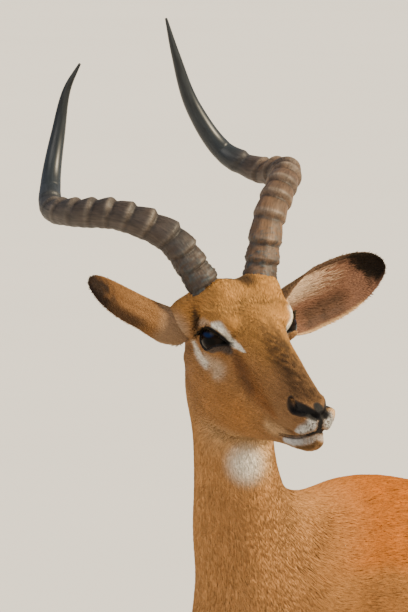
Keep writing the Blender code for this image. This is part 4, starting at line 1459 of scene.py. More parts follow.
def lie(points, normals):
    """The way the hair points, from root to tip, along the skin."""
    heads = in_head(points)
    x, s, z = heads.T
    # Over the face it points back from the nose, and away from each eye.
    rise = ease(0.0, 0.05, z) * ease(0.02, 0.08, s + 0.05) * 0.25
    fall = 0.65 * ease(0.02, -0.06, z) * ease(0.13, 0.05, s)
    face = np.stack([np.sign(x) * 0.10, -np.ones(len(x)), rise - fall], axis=1)
    for side in (1, -1):
        away = heads - np.array(EYE_CENTRE) * (side, 1, 1)
        near = 1 - ease(0.018, 0.040, np.linalg.norm(away, axis=1))
        face += unit(away) * (1.1 * near)[:, None]
    face = turned(unit(face))
    # Over the trunk it points back, and down everywhere else.
    body = points * (1, -1, 1)
    s, z = body[:, 1], body[:, 2]
    sinking = -0.12 - 0.30 * ease(0.78, 0.60, z)
    flow = np.stack([np.zeros(len(s)), np.ones(len(s)), sinking], axis=1)
    flow = mixed(flow, unit(DOWN_THIGH), 0.5 * blob(body * (0, 1, 1), *THIGH))
    flow = mixed(flow, DOWN_LEG, ease(0.60, 0.52, z))
    flow = mixed(flow, DOWN_LEG, ease(0.34, 0.40, s) * ease(0.80, 0.70, z))
    flow = mixed(flow, DOWN_NECK, ease(0.02, 0.11, past_neck_root(s, z)))
    flow = mixed(flow, DOWN_TAIL, ease(-0.545, -0.555, s))
    flow = mixed(flow, face, on_head(points))
    flow -= normals * dots(flow, normals)[:, None]
    return unit(flow)


# ---------------------------------------------------------------- planting tufts


class Skin:
    """The finished skin's mesh and what is needed to plant hair on it."""

    def __init__(self, points, triangles):
        """Measures the mesh's triangles and sets up the search for near places."""
        self.points = points
        self.triangles = triangles
        self.normals = point_normals(points, triangles)
        corners = points[triangles]
        sides = np.cross(corners[:, 1] - corners[:, 0], corners[:, 2] - corners[:, 0])
        self.areas = np.linalg.norm(sides, axis=1) / 2
        self.middles = corners.mean(axis=1)
        self.tree = BVHTree.FromPolygons(points.tolist(), triangles.tolist())

    def scattered(self, weights, count, rng):
        """Corners of triangles chosen by area and weight, and a share of each corner."""
        running = np.cumsum(self.areas * weights)
        picks = (np.arange(count) + rng.random(count)) / count * running[-1]
        chosen = np.clip(np.searchsorted(running, picks), 0, len(running) - 1)
        return self.triangles[chosen], rng.dirichlet((1, 1, 1), count)[..., None]

    def nearest(self, points):
        """The closest places on the skin, with the normals there."""
        places = np.empty_like(points)
        normals = np.empty_like(points)
        for i, point in enumerate(points):
            places[i], normals[i] = self.tree.find_nearest(point)[:2]
        return places, normals


def swung(directions, normals, angles):
    """Directions turned about the normals by angles in radians."""
    turn = angles[:, None]
    return directions * np.cos(turn) + np.cross(normals, directions) * np.sin(turn)


# Where a tuft's ridge stands: shares of its length and of its lift.
CROWN_ALONG = 0.38
CROWN_LIFT = 0.75


def tuft_mesh(roots, normals, lies, tips, tip_normals, sizes):
    """The four corners of each closed spike, as an array (n, 4, 3)."""
    length, width, lift, sink = (size[:, None] for size in sizes)
    across = np.cross(lies, normals)
    left = roots - across * width / 2 - normals * sink
    right = roots + across * width / 2 - normals * sink
    crown = roots + lies * length * CROWN_ALONG + normals * lift * CROWN_LIFT
    end = tips + tip_normals * lift
    return np.stack([left, right, crown, end], axis=1)


TUFT_FACES = np.array(((1, 3, 2), (0, 2, 3), (0, 1, 2), (0, 3, 1)))
# Each tuft is darker at its root and paler at its tip: painted shade deep in the coat
# and painted light on the tips.
TUFT_ROOT_SHADE_TIP_LIGHT = np.array((0.74, 0.74, 1.0, 1.18))[None, :, None]
# Each tuft's place on the map: a patch of this size.
PATCH = 0.003
TUFT_PATCH = np.array(((-0.5, -0.5), (0.5, -0.5), (0.0, 0.0), (0.0, 0.5))) * PATCH


def planted(name, points, colours, places_on_map, finish, combs=None):
    """One piece of coat out of tufts, with its OFBake map and its colours."""
    count = len(points)
    faces = (TUFT_FACES + 4 * np.arange(count)[:, None, None]).reshape(-1, 3)
    piece = new_piece(name, points.reshape(-1, 3), [faces], finish)
    coloured(piece, np.clip(colours.reshape(-1, 3), 0, 1))
    corners = TUFT_PATCH[TUFT_FACES.ravel()]
    spots = np.clip(places_on_map, PATCH, 1 - PATCH)[:, None] + corners
    layer = piece.data.uv_layers.new(name="OFBake")
    layer.uv.foreach_set("vector", spots.astype(np.float32).ravel())
    combing(piece, combed(points.reshape(-1, 3)) if combs is None else combs)
    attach(piece, "root")
    return piece


def ear_combed(shares, inside):
    """Coordinates squeezed along an ear, from the shares along and across it."""
    t, over = shares.T
    return np.stack([over * 0.03, t * 0.0165, inside * 0.5], axis=1)


def around(a, b):
    """The turn of a direction (a, b), from 0 to 1."""
    return np.arctan2(a, b) / (2 * np.pi) + 0.5


def leg_axis(z, side, front):
    """Where the middle of a leg stands at each height."""
    rows = np.array(FORE_LEG if front else HIND_LEG)
    return side * np.interp(-z, -rows[:, 2], rows[:, 0]), np.interp(-z, -rows[:, 2], rows[:, 1])


# The unwraps lay each region of the skin out flat, from 0 to 1 both ways.
def unwrap_head(points):
    x, s, z = in_head(points).T
    return np.stack([around(x, z + 0.03), (s + 0.15) / 0.34], axis=1)


def unwrap_neck(points):
    x, s, z = (points * (1, -1, 1)).T
    return np.stack([around(x, s - 0.36 + 0.25 * np.maximum(0.80 - z, 0)), (z - 0.5) / 0.62], 1)


def unwrap_trunk(points):
    x, s, z = (points * (1, -1, 1)).T
    return np.stack([around(x, z - 0.72), (s + 0.60) / 1.08], axis=1)


def unwrap_legs(points):
    x, s, z = (points * (1, -1, 1)).T
    places = np.empty((len(points), 2))
    quarter = 0
    for front in (True, False):
        for side in (1, -1):
            here = (np.sign(x) == side) & ((s > -0.05) == front)
            middle_x, middle_s = leg_axis(z[here], side, front)
            turn = around(x[here] - middle_x, s[here] - middle_s)
            places[here] = np.stack([(quarter + 0.02 + 0.96 * turn) / 4, z[here] / 0.66], axis=1)
            quarter += 1
    return places


def unwrap_tail(points):
    x, s, z = (points * (1, -1, 1)).T
    return np.stack([around(x, s + 0.562), (z - 0.50) / 0.38], axis=1)


# ---------------------------------------------------------------- the coat's regions


def region_of(points):
    """The name of the coat piece that each point of the skin belongs to."""
    heads = in_head(points)
    body = points * (1, -1, 1)
    s, z = body[:, 1], body[:, 2]
    names = np.full(len(points), "trunk_middle", dtype="<U14")
    names[s > 0.16] = "trunk_front"
    names[s < -0.20] = "trunk_rear"
    legs = z < 0.57
    names[legs & (s > 0.05)] = "legs_front"
    names[legs & (s < -0.15)] = "legs_hind"
    names[(s < -0.549) & (np.abs(body[:, 0]) < 0.034)] = "tail"
    neck = past_neck_root(s, z) > 0.035
    names[neck & (z > 0.60) & (s > 0.2)] = "neck_lower"
    names[neck & (z > 0.86) & (s > 0.2)] = "neck_upper"
    head = on_head(points) > 0.5
    names[head] = "skull"
    names[head & (heads[:, 1] > -0.002)] = "face"
    names[head & (heads[:, 1] > 0.080)] = "muzzle"
    return names


# Tufts in each piece of the coat, and the map of the skin they are set out on.
REGIONS = {
    "muzzle": (30000, unwrap_head),
    "face": (44000, unwrap_head),
    "skull": (36000, unwrap_head),
    "neck_upper": (46000, unwrap_neck),
    "neck_lower": (40000, unwrap_neck),
    "trunk_front": (46000, unwrap_trunk),
    "trunk_middle": (32000, unwrap_trunk),
    "trunk_rear": (30000, unwrap_trunk),
    "legs_front": (14000, unwrap_legs),
    "legs_hind": (15000, unwrap_legs),
    "tail": (6000, unwrap_tail),
}


# Lengths of hair in metres.
FACE_HAIR = 0.0085
EYE_HAIR = 0.0042
EYE_HAIR_REACH = 0.032
TRUNK_HAIR = 0.0190
NECK_HAIR = 0.0135
LEG_HAIR = 0.0085
TAIL_HAIR_LONGER = 0.008


def hair_sizes(points):
    """Length, width and lift of the tufts at points of the skin."""
    heads = both_sides(in_head(points))
    s, z = heads[:, 1], heads[:, 2]
    face = FACE_HAIR - 0.0045 * ease(0.05, 0.15, s) - 0.0015 * ease(0.0, 0.06, s)
    face = face + 0.0020 * ease(-0.09, -0.12, z) + 0.0015 * ease(0.03, 0.05, z)
    near_eye = np.linalg.norm(heads - EYE_CENTRE, axis=1) < EYE_HAIR_REACH
    face = np.where(near_eye, np.minimum(face, EYE_HAIR), face)
    side, s, z = both_sides(points * (1, -1, 1)).T
    hide = TRUNK_HAIR + (NECK_HAIR - TRUNK_HAIR) * ease(0.0, 0.12, past_neck_root(s, z))
    hide = hide + (LEG_HAIR - hide) * ease(0.58, 0.46, z)
    hide = hide + TAIL_HAIR_LONGER * ease(-0.548, -0.553, s) * ease(0.034, 0.026, side)
    share = on_head(points)
    length = hide + (face - hide) * share
    width = 0.0006 + 0.092 * length
    lift = coat_depth(points) * (0.62 - 0.12 * (1 - share))
    return length, width, lift


# How much the coat's brightness varies in streaks along its lie, and their size.
STREAKS = 0.16
STREAK_SIZE = 0.0045
# How far the hair swirls from its lie, in radians: in patches, and tuft by tuft.
SWIRL = 0.16
SCATTER = 0.13
TUFT_SINK = 0.0004


def grown(name, skin, weights, count, unwrap, finish, seed):
    """Plants one region of the coat on the skin."""
    rng = np.random.default_rng(seed)
    corners, shares = skin.scattered(weights, count, rng)
    roots = (skin.points[corners] * shares).sum(axis=1)
    normals = unit((skin.normals[corners] * shares).sum(axis=1))
    length, width, lift = hair_sizes(roots)
    length = length * rng.uniform(0.75, 1.25, count)
    width = width * rng.uniform(0.75, 1.25, count)
    lift = lift * rng.uniform(0.35, 1.25, count)
    swirl = SWIRL * rough_noise(roots, 0.05, 21) + rng.normal(0, SCATTER, count)
    lies = swung(lie(roots, normals), normals, swirl)
    ends, end_normals = skin.nearest(roots + lies * length[:, None])
    sizes = (length, width, lift, np.full(count, TUFT_SINK))
    points = tuft_mesh(roots, normals, lies, ends, end_normals, sizes)
    middles = roots + lies * (0.45 * length)[:, None]
    streaks = 1 + STREAKS * rough_noise(combed(middles), STREAK_SIZE, 33)
    shades = painted(middles) * (streaks * rng.uniform(0.80, 1.20, count))[:, None]
    spots = unwrap(roots)
    # The tufts' colours carry painted shade at the root and painted light at the tip.
    return planted("coat_" + name, points, shades[:, None] * TUFT_ROOT_SHADE_TIP_LIGHT, spots, finish)


# How far each corner of an ear's tuft lies from its root on the comb.
EAR_TUFT_COMB = np.array(((-0.0004, 0, 0), (0.0004, 0, 0), (0, 0.0004, 0), (0, 0.001, 0)))


# Each kind of tuft on an ear: its count, length, width and lift.
EAR_HAIRS = {
    "short": (EAR_TUFTS, 0.0046, 0.0009, 0.0007),
    "long": (EAR_LONG_HAIRS, 0.0130, 0.0006, 0.0014),
    "rim": (EAR_RIM_HAIRS, 0.0026, 0.0007, 0.0005),
}
EAR_TUFT_SINK = 0.0003


def ear_coat(side, seed, finish):
    """Short hair on an ear, long pale hairs inside it and a fringe on its rim."""
    rng = np.random.default_rng(seed)
    points, quads, shares, inside = ear(side)
    triangles = np.concatenate([quads[:, :3], quads[:, [0, 2, 3]]])
    leaf = Skin(points, triangles)
    aim = turned(unit(EAR_AIMS[side]))
    opening = turned(unit(EAR_OPENINGS[side]))
    across = np.cross(aim, opening)
    along, over = shares[triangles].mean(axis=1).T
    within = inside[triangles].mean(axis=1) > 0.9
    places = {
        "short": np.ones(len(triangles)),
        "long": within & (along > 0.12) & (along < 0.70) & (np.abs(over) < 0.66),
        "rim": np.abs(over) > 0.93,
    }
    made = []
    for kind, (count, length, width, lift) in EAR_HAIRS.items():
        corners, parts = leaf.scattered(places[kind] * 1.0, count, rng)
        roots = (points[corners] * parts).sum(axis=1)
        normals = unit((leaf.normals[corners] * parts).sum(axis=1))
        t, share = (shares[corners] * parts).sum(axis=1).T
        within_it = (inside[corners] * parts[..., 0]).sum(axis=1)
        # Inside, hair leans towards the middle; on the back and rim, away from it.
        lean = np.where(within_it > 0.5, -0.55 * share, 0.35 * share)
        lean = lean + rng.normal(0, 0.08, count)
        lies = aim + across * lean[:, None]
        lies = unit(lies - normals * dots(lies, normals)[:, None])
        size = rng.uniform(0.7, 1.2, count)
        reach = length * size * (1 - 0.35 * ease(0.8, 1.0, t))
        sizes = (reach, width * size, lift * size, np.full(count, EAR_TUFT_SINK))
        ends = roots + lies * reach[:, None]
        spikes = tuft_mesh(roots, normals, lies, ends, normals, sizes)
        shades = paint_ear(roots, np.stack([t, share], 1), within_it)
        if kind == "long":
            pale = rng.random(count) < 0.6 * ease(0.72, 0.5, t)
            pale = pale * ease(-0.30, 0.0, share)
            shades = mixed(shades, GREY_PALE, 0.60 * pale)
        shades = shades * rng.uniform(0.78, 1.22, count)[:, None]
        spots = np.stack([(share + 1) * 0.24 + 0.01 + 0.5 * (within_it > 0.5), t], axis=1)
        combs = ear_combed(np.stack([t, share], 1), within_it)
        combs = np.repeat(combs, 4, axis=0) + np.tile(EAR_TUFT_COMB, (count, 1))
        # Painted shade at each tuft's root and painted light at its tip.
        made.append((spikes, shades[:, None] * TUFT_ROOT_SHADE_TIP_LIGHT, spots, combs))
    spikes, shades, spots, combs = (np.concatenate(part) for part in zip(*made))
    return planted("coat_ear_" + side, spikes, shades, spots, finish, combs)


# ---------------------------------------------------------------- the horns

HORN_RINGS = 460
# Rings below the first row, which carry the horn down into the brow.
HORN_ROOT_RINGS = 40
HORN_SIDES = 44
HORN_RIDGES = {"horn_left": 12, "horn_right": 14}
RIDGE_HEIGHT = 0.0062
RIDGE_CROWDING = 0.85
HORN_GREY = (0.023, 0.020, 0.019)
# The crest's colour is a painted highlight and the groove's a painted shadow.
HORN_CREST_HIGHLIGHT = (0.210, 0.175, 0.140)
HORN_GROOVE_SHADOW = (0.014, 0.011, 0.010)
HORN_BROWN = (0.125, 0.066, 0.030)
# How high the rings stand at the back and at the front of a horn, and how strong
# the painted highlights and shadows along them are.
HORN_BACK = {"horn_left": 0.45, "horn_right": 0.15}
HORN_FRONT = 1.13
HORN_RING_LIGHT_AND_SHADE = {"horn_left": 1.0, "horn_right": 0.75}
# The left horn is browned more than the right: the horns' own brown, with painted warm
# light over the left one.
HORN_BROWN_AND_WARM_LIGHT = {"horn_left": 0.85, "horn_right": 0.22}
# The radius of a horn lies at this share of a ring's height.
KNUCKLE_LEVEL = 0.36
FINE_RING_HEIGHT = 0.0005
FLUTE_HEIGHT = 0.00013
FLAKE_HEIGHT = 0.0011
HORN_LENGTH = 0.52
HORN_FLAKE = (0.034, 0.040, 0.043)
HORN_TIP = (0.014, 0.018, 0.022)


def with_ends(values):
    """The values of a tube's points, and of the two points that close its ends."""
    return np.concatenate([values, values[[0, -1]]])


def horn(name, rows, seed, finish):
    """A horn with ringed lips and a flaky base below and a smooth polished tip."""
    rng = np.random.default_rng(seed)
    ridges = HORN_RIDGES[name]
    path = through(rows, HORN_RINGS - HORN_ROOT_RINGS)
    step = path[1] - path[0]
    roots = path[0] - step * np.arange(HORN_ROOT_RINGS, 0, -1)[:, None]
    path = np.concatenate([roots, path])
    t = np.linspace(0.0, 1.0, HORN_RINGS - HORN_ROOT_RINGS)
    t = np.concatenate([np.zeros(HORN_ROOT_RINGS), t])
    angle = np.arange(HORN_SIDES) * 2 * np.pi / HORN_SIDES
    ridged = np.clip(t / RIDGED_SHARE, 0, 1)
    waver = rng.uniform(-0.10, 0.10, ridges + 3)
    phase = ridges * ridged**RIDGE_CROWDING
    phase = phase + np.interp(phase, np.arange(ridges + 3), waver)
    wandering = phase[:, None] + 0.10 * np.cos(angle) + 0.05 * np.sin(2 * angle + 1 + seed)
    # Each ring is a lip, steep towards the base and sloping off towards the tip.
    up_ring = wandering % 1.0
    knuckle = ease(0.0, 0.26, up_ring) * (1 - up_ring) ** 0.8 * 1.25 * (ridged < 1)[:, None]
    strength = rng.uniform(0.75, 1.2, ridges + 3)
    strength = np.interp(phase, np.arange(ridges + 3) + 0.5, strength)[:, None]
    behind = HORN_BACK[name]
    front = (behind + (HORN_FRONT - behind) * (0.5 + 0.5 * np.cos(angle)) ** 3)[None, :]
    fade = ((1 - ridged) ** 0.30 * ease(0.0, 0.02, t))[:, None]
    height = RIDGE_HEIGHT * strength * front * fade * (knuckle - KNUCKLE_LEVEL)
    # Finer rings crowd between the lips on the underside.
    under = np.maximum(0, -np.cos(angle))[None, :]
    height = height + FINE_RING_HEIGHT * under * fade * np.sin(4 * np.pi * wandering + 0.6)
    # Faint flutes run along the horn.
    flutes = np.sin(7 * angle + 3 * np.sin(1.7 * phase)[:, None])
    flutes = flutes + np.sin(19 * angle + 4 * np.sin(2.3 * phase + 1)[:, None])
    height = height + FLUTE_HEIGHT * flutes * ((1 - ridged) ** 0.5)[:, None]
    radius = HORN_RADIUS * (1 - HORN_TAPER * t**HORN_TAPER_POWER)
    radius = radius[:, None] + height
    tangents = unit(np.gradient(path, axis=0))
    fronts = unit(np.cross(tangents, np.cross((0, 1, 2), tangents)))
    sides = np.cross(fronts, tangents)
    out = np.cos(angle)[:, None] * fronts[:, None] + np.sin(angle)[:, None] * sides[:, None]
    points = path[:, None] + radius[..., None] * out
    # The base is rough with flakes.
    places = points.reshape(-1, 3)
    flaky = rough_noise(places, 0.011, seed) + rough_noise(places, 0.005, 7)
    flaky = flaky.reshape(radius.shape) * ease(0.24, 0.03, t)[:, None]
    points = points + (FLAKE_HEIGHT * flaky)[..., None] * out
    points = in_world(np.concatenate([points.reshape(-1, 3), path[[0, -1]]]))
    piece = new_piece(name, points, tube_faces(HORN_RINGS, HORN_SIDES), finish)
    # Each lip has a painted highlight on its crest, strongest on the front, and a painted
    # shadow in the groove below it.
    lines = HORN_RING_LIGHT_AND_SHADE[name]
    crest_light = np.exp(-(((up_ring - 0.24) / 0.10) ** 2)) * fade * lines
    groove_shade = np.exp(-((np.minimum(up_ring, 1 - up_ring) / 0.07) ** 2)) * fade * lines
    crest_light = crest_light * (0.35 + 0.65 * front) * ease(0.02, 0.25, t)[:, None]
    blotchy = 0.5 + 0.5 * rough_noise(points[:-2], 0.045, 15 + seed)
    browned_and_lit = HORN_BROWN_AND_WARM_LIGHT[name] * np.clip(blotchy + 0.4, 0, 1)
    shades = layered(HORN_GREY, (
        # The horns' brown, with painted warm light on the left horn.
        (HORN_BROWN, browned_and_lit * fade.repeat(HORN_SIDES)),
        # Painted shadow in the grooves and painted highlights on the crests.
        (HORN_GROOVE_SHADOW, 0.8 * groove_shade.ravel()),
        (HORN_CREST_HIGHLIGHT, (0.15 + 0.55 * np.clip(blotchy, 0, 1)) * crest_light.ravel()),
        (HORN_GREY, 0.6 * ease(0.16, 0.02, t).repeat(HORN_SIDES)),
        (HORN_FLAKE, 0.9 * ease(-0.2, 0.9, flaky.ravel())),
        (HORN_TIP, ease(0.50, 0.66, t).repeat(HORN_SIDES)),
    ))
    # The coordinates that the grain follows are squeezed along the horn.
    along = np.broadcast_to((t * HORN_LENGTH * SQUEEZE)[:, None], radius.shape)
    grain = np.stack([radius * np.cos(angle), radius * np.sin(angle), along], axis=2)
    worn = (1 - ease(0.52, 0.70, t)).repeat(HORN_SIDES)
    coloured(piece, with_ends(shades), "horn_colour")
    stored(piece, "grain", "FLOAT_VECTOR", "vector", with_ends(grain.reshape(-1, 3)))
    stored(piece, "worn", "FLOAT", "value", with_ends(worn))
    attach(piece, "root")
    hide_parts(name)
    return piece


# ---------------------------------------------------------------- eyes and lashes

# The iris reaches this share of the eye's radius; half the pupil's height and length.
IRIS_SHARE = 0.62
PUPIL = (0.0045, 0.0088)
IRIS = (0.008, 0.005, 0.0035)
EYE_BLACK = (0.002, 0.002, 0.0022)
# A painted reflection of a blue sky over the upper part of the eye, above its pupil.
EYE_SKY_REFLECTION = (0.004, 0.016, 0.060)


def eye(name, side, finish):
    """A wet ball with a level pupil, a dark iris, a darker rim and a painted blue reflection."""
    shape = bmesh.new()
    # A hair's breadth smaller than the CAD's ball, so that it stays inside it.
    bmesh.ops.create_uvsphere(shape, u_segments=64, v_segments=40, radius=EYE_RADIUS - 0.0001)
    mesh = bpy.data.meshes.new(name)
    shape.to_mesh(mesh)
    shape.free()
    local = np.array([v.co[:] for v in mesh.vertices])
    faces = [[], []]
    for face in sorted(face.vertices[:] for face in mesh.polygons):
        faces[len(face) == 4].append(face)
    bpy.data.meshes.remove(mesh)
    aim, forward, above = eye_axes()
    axes = np.stack([above, forward, aim]) * (side, 1, 1)
    centre = np.array(EYE_CENTRE) * (side, 1, 1)
    points = in_world(local @ axes + centre)
    if side < 0:
        faces = [np.array(part)[:, ::-1] for part in faces]
    piece = new_piece(name, points, faces, finish)
    up, ahead = local[:, 0], local[:, 1]
    pupil = np.hypot(up / PUPIL[0], ahead / PUPIL[1])
    ring = np.hypot(up, ahead) / EYE_RADIUS
    reflection_patch = np.hypot((up - 0.0072) / 0.0030, (ahead + 0.0030) / 0.0085)
    shades = layered(IRIS, (
        (EYE_BLACK, 1 - ease(0.85, 1.1, pupil)),
        (EYE_BLACK, ease(IRIS_SHARE, 0.80, ring)),
        # The painted reflection of the sky, above the pupil.
        (EYE_SKY_REFLECTION, 0.8 * (1 - ease(0.4, 1.2, reflection_patch))),
    ))
    coloured(piece, shades, "eye_colour")
    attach(piece, "root")
    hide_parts(name)
    return piece


LASHES = 240
LASH_LENGTH = 0.0125
# A lash's width, its thickness and how deep it is rooted.
LASH_SIZES = (0.0005, 0.0004, 0.0003)
# Lashes grow on the first part of the upper lid's edge, from its back corner.
LASH_PLACES = 400
LASHED_PLACES = 300
# Outward, forward and up: the way the longest lashes point.
LASH_SWEEP = (0.80, -0.10, -0.48)


def lashes(side, finish):
    """Black lashes on the upper lid, longest and swept back at the rear corner."""
    rng = np.random.default_rng(41)
    aim, forward, above = eye_axes()
    rim = through(UPPER_LID, LASH_PLACES)[:LASHED_PLACES]
    chosen = rim[rng.integers(0, len(rim), LASHES)] + rng.normal(0, 0.0004, (LASHES, 2))
    across, up = chosen.T / EYE_RADIUS
    out = np.cos(up)[:, None] * (np.cos(across)[:, None] * aim + np.sin(across)[:, None] * forward)
    out = out + np.sin(up)[:, None] * above
    roots = EYE_CENTRE + out * (EYE_RADIUS + LID_THICKNESS * 0.7)
    back = ease(0.000, -0.017, chosen[:, 0])
    sweep = unit(out + 0.3 * above) * (1 - back)[:, None] + LASH_SWEEP * back[:, None]
    sweep = unit(sweep + rng.normal(0, 0.10, (LASHES, 3)))
    length = LASH_LENGTH * (0.35 + 0.65 * back) * rng.uniform(0.7, 1.1, LASHES)
    sizes = (length, *(np.full(LASHES, size) for size in LASH_SIZES))
    mirror = np.array((side, 1, 1))
    roots = in_world(roots * mirror)
    sweep = turned(sweep * mirror)
    normals = np.cross(sweep, turned(forward * mirror))
    ends = roots + sweep * length[:, None]
    spikes = tuft_mesh(roots, unit(normals), sweep, ends, unit(normals), sizes)
    shades = np.tile(np.array(BLACK), (LASHES, 4, 1))
    spots = np.stack([0.5 + across / 4, 0.5 + up / 4], axis=1)
    return planted("lashes_" + ("left" if side > 0 else "right"), spikes, shades, spots, finish)


# ---------------------------------------------------------------- hooves

HOOF_HEIGHT = 0.040
HOOF_SPREAD = 0.0123
CLAW_HALF_WIDTH = 0.0108
CLAW_HALF_LENGTH = 0.0285
CLAW_RAKE = 0.010
CLAW_TOP_WIDTH = 0.85
CLAW_TOP_LENGTH = 0.70
TOE_IN_TOP = 0.15
TOE_IN_SOLE = 0.55
CLAW_LEVELS = 44
CLAW_SIDES = 56
# The worn edge of the sole: its height and how much it is drawn in.
CLAW_EDGE_HEIGHT = 0.0012
CLAW_EDGE = 0.06
# The domed top: the level where it starts, how much it is drawn in, and how late.
CLAW_DOME = (0.86, 0.30, 2.5)
GROWTH_RING = 0.0032
GROWTH_RELIEF = 0.006


def claw(name, x, s, finish):
    """Half a hoof: a level sole, growth rings, a worn edge and a domed top."""
    angle = np.arange(CLAW_SIDES) * 2 * np.pi / CLAW_SIDES
    dome_start, dome, dome_power = CLAW_DOME
    rings = []
    for level in np.linspace(0, 1, CLAW_LEVELS):
        z = HOOF_HEIGHT * level
        low = 1 - level
        edge = 1 - CLAW_EDGE * (1 - min(1, z / CLAW_EDGE_HEIGHT)) ** 2
        edge *= 1 - dome * max(0, (level - dome_start) / (1 - dome_start)) ** dome_power
        growth = 1 + GROWTH_RELIEF * math.sin(z * 2 * math.pi / GROWTH_RING) * (z > 0.002)
        forward_share = -np.cos(angle)
        toe = np.maximum(0, forward_share)
        half_width = CLAW_HALF_WIDTH * (CLAW_TOP_WIDTH + (1 - CLAW_TOP_WIDTH) * low)
        half_length = CLAW_HALF_LENGTH * (CLAW_TOP_LENGTH + (1 - CLAW_TOP_LENGTH) * low)
        toe_in = TOE_IN_TOP + (TOE_IN_SOLE - TOE_IN_TOP) * low
        forward = CLAW_RAKE * low + forward_share * half_length * edge * growth
        across = np.sin(angle) * half_width * (1 - toe_in * toe) * edge * growth
        rings.append(np.stack([x + across, -s - forward, np.full(CLAW_SIDES, z)], axis=1))
    middles = [rings[0].mean(axis=0), rings[-1].mean(axis=0)]
    points = np.concatenate([*rings, middles])
    piece = new_piece(name, points, tube_faces(CLAW_LEVELS, CLAW_SIDES), finish)
    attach(piece, "root")
    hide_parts(name)
    return piece


# ---------------------------------------------------------------- assembly

FLESH = (
    "head",
    "neck",
    "trunk",
    "tail",
    "ear_left",
    "ear_right",
    "leg_front_left",
    "leg_front_right",
    "leg_hind_left",
    "leg_hind_right",
)
BARE_SKIN = (0.007, 0.0065, 0.007)
# The skin is darker than the hair over it: painted shade beneath the coat.
SKIN_PAINTED_SHADE = 0.62
EAR_SKIN_PAINTED_SHADE = 0.8


def build_skin(finish):
    """The skin with its ears as one object; returns what the coat is planted on."""
    points, triangles = skin_mesh()
    points = sculpted(points, triangles)
    bare = bare_face(in_head(points)) * on_head(points)
    places = [points]
    faces = [triangles]
    # Painted shade on the skin beneath the coat, then the bare dark skin.
    shades = [mixed(painted(points) * SKIN_PAINTED_SHADE, BARE_SKIN, bare)]
    combs = [combed(points)]
    bareness = [bare]
    count = len(points)
    for side in ("left", "right"):
        leaf, quads, shares, inside = ear(side)
        places.append(leaf)
        faces.append(quads + count)
        # Painted shade on the ear's skin beneath its hair.
        shades.append(paint_ear(leaf, shares, inside) * EAR_SKIN_PAINTED_SHADE)
        combs.append(ear_combed(shares, inside))
        bareness.append(np.zeros(len(leaf)))
        count += len(leaf)
    piece = new_piece("skin", np.concatenate(places), faces, finish)
    coloured(piece, np.clip(np.concatenate(shades), 0, 1))
    combing(piece, np.concatenate(combs))
    stored(piece, "bare", "FLOAT", "value", np.concatenate(bareness))
    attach(piece, "root")
    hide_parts(*FLESH)
    return Skin(points, triangles)


def grow_coat(skin, finish):
    """Plants every region's tufts wherever the skin isn't bare."""
    names = region_of(skin.middles)
    bare = bare_face(in_head(skin.middles)) * on_head(skin.middles)
    hairy = 1 - ease(0.15, 0.5, bare)
    for seed, (name, (count, unwrap)) in enumerate(REGIONS.items()):
        weights = (names == name) * hairy
        grown(name, skin, weights, count, unwrap, finish, seed)


# ---------------------------------------------------------------- the stage

VIEW_TURN = 52.0
VIEW_RISE = 4.0
VIEW_DISTANCE = 9.5
# What the camera looks at, right of and above the head's origin.
VIEW_RIGHT = -0.0581
VIEW_UP = 0.0474
# How much of the scene's height the camera sees at that distance.
VIEW_HEIGHT = 0.7116
SENSOR_HEIGHT = 24.0
FARTHEST = 400.0
FLOOR_RADIUS = 150.0
# Each light's turn and rise in degrees, strength, colour and width in degrees.
LIGHTS = {
    "key": (127, 34, 9.0, (1.0, 0.84, 0.58), 12),
    "fill": (12, 40, 1.6, (1.0, 0.93, 0.84), 40),
}
SKY_COLOUR = (0.86, 0.90, 1.0, 1)
SKY_STRENGTH = 0.45


def pointed(made, toward):
    """Adds a camera or light to the scene, with its back toward a direction."""
    made.rotation_euler = Vector(toward).to_track_quat("Z", "Y").to_euler()
    bpy.context.scene.collection.objects.link(made)


def facing(turn, rise):
    """The direction at a turn, where 0 is the body's front, and a rise, in degrees."""
    turn, rise = math.radians(turn), math.radians(rise)
    level = math.cos(rise)
    return np.array((math.sin(turn) * level, -math.cos(turn) * level, math.sin(rise)))


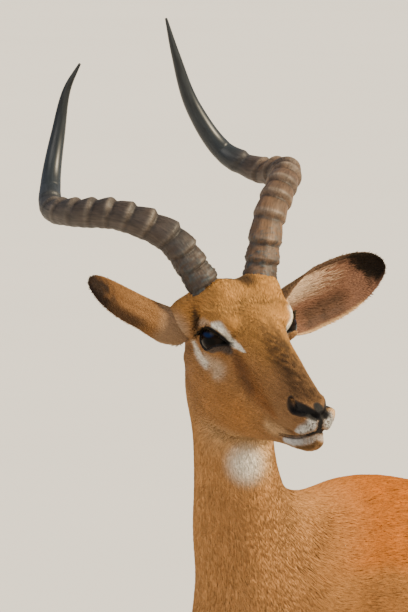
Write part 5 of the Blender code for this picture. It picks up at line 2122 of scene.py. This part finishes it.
def place_camera():
    """The camera, at the photograph's viewing angle."""
    toward = facing(VIEW_TURN, VIEW_RISE)
    right = unit(np.cross((0, 0, 1), toward))
    up = np.cross(toward, right)
    target = HEAD_FRAME[:3, 3] + SHIFT + right * VIEW_RIGHT + up * VIEW_UP
    lens = bpy.data.cameras.new("camera")
    lens.sensor_fit = "VERTICAL"
    lens.sensor_height = SENSOR_HEIGHT
    lens.lens = SENSOR_HEIGHT * VIEW_DISTANCE / VIEW_HEIGHT
    lens.clip_end = FARTHEST
    camera = bpy.data.objects.new("camera", lens)
    camera.location = target + toward * VIEW_DISTANCE
    pointed(camera, toward)
    bpy.context.scene.camera = camera


def light(name, turn, rise, strength, colour, spread):
    """A soft sun shining from a turn and a rise in degrees."""
    sun = bpy.data.lights.new(name, "SUN")
    sun.energy = strength
    sun.color = colour
    sun.angle = math.radians(spread)
    pointed(bpy.data.objects.new(name, sun), facing(turn, rise))


def place_lights():
    """Two soft suns and a pale sky."""
    for name, settings in LIGHTS.items():
        light(name, *settings)
    world = bpy.data.worlds.new("studio")
    world.use_nodes = True
    sky = world.node_tree.nodes["Background"]
    sky.inputs["Color"].default_value = SKY_COLOUR
    sky.inputs["Strength"].default_value = SKY_STRENGTH
    bpy.context.scene.world = world


def lay_floor():
    """The plain floor that the hooves stand on."""
    shape = bmesh.new()
    bmesh.ops.create_circle(shape, cap_ends=True, segments=128, radius=FLOOR_RADIUS)
    mesh = bpy.data.meshes.new("floor")
    shape.to_mesh(mesh)
    shape.free()
    mesh.materials.append(floor_material())
    floor = bpy.data.objects.new("floor", mesh)
    bpy.context.scene.collection.objects.link(floor)


def add_hooves(finish):
    """Two claws on each foot."""
    for foot, step in STEPS.items():
        side = 1 if foot.endswith("left") else -1
        x, s = (FORE_LEG if foot.startswith("front") else HIND_LEG)[-2][:2]
        for part, shift in (("inner", -HOOF_SPREAD), ("outer", HOOF_SPREAD)):
            claw(f"hoof_{foot}_{part}", side * (x + shift), s + step, finish)


def main():
    """Builds every piece and the stage."""
    coat = hair_material("coat", bump=0.35, roughness=0.62)
    grow_coat(build_skin(skin_material()), coat)
    ear_coat("left", 31, coat)
    ear_coat("right", 32, coat)
    lashes(1, coat)
    lashes(-1, coat)
    horn_finish = horn_material()
    horn("horn_left", LEFT_HORN, 1, horn_finish)
    horn("horn_right", RIGHT_HORN, 2, horn_finish)
    eye_finish = eye_material()
    eye("eye_left", 1, eye_finish)
    eye("eye_right", -1, eye_finish)
    add_hooves(hoof_material())
    lay_floor()
    place_lights()
    place_camera()


main()
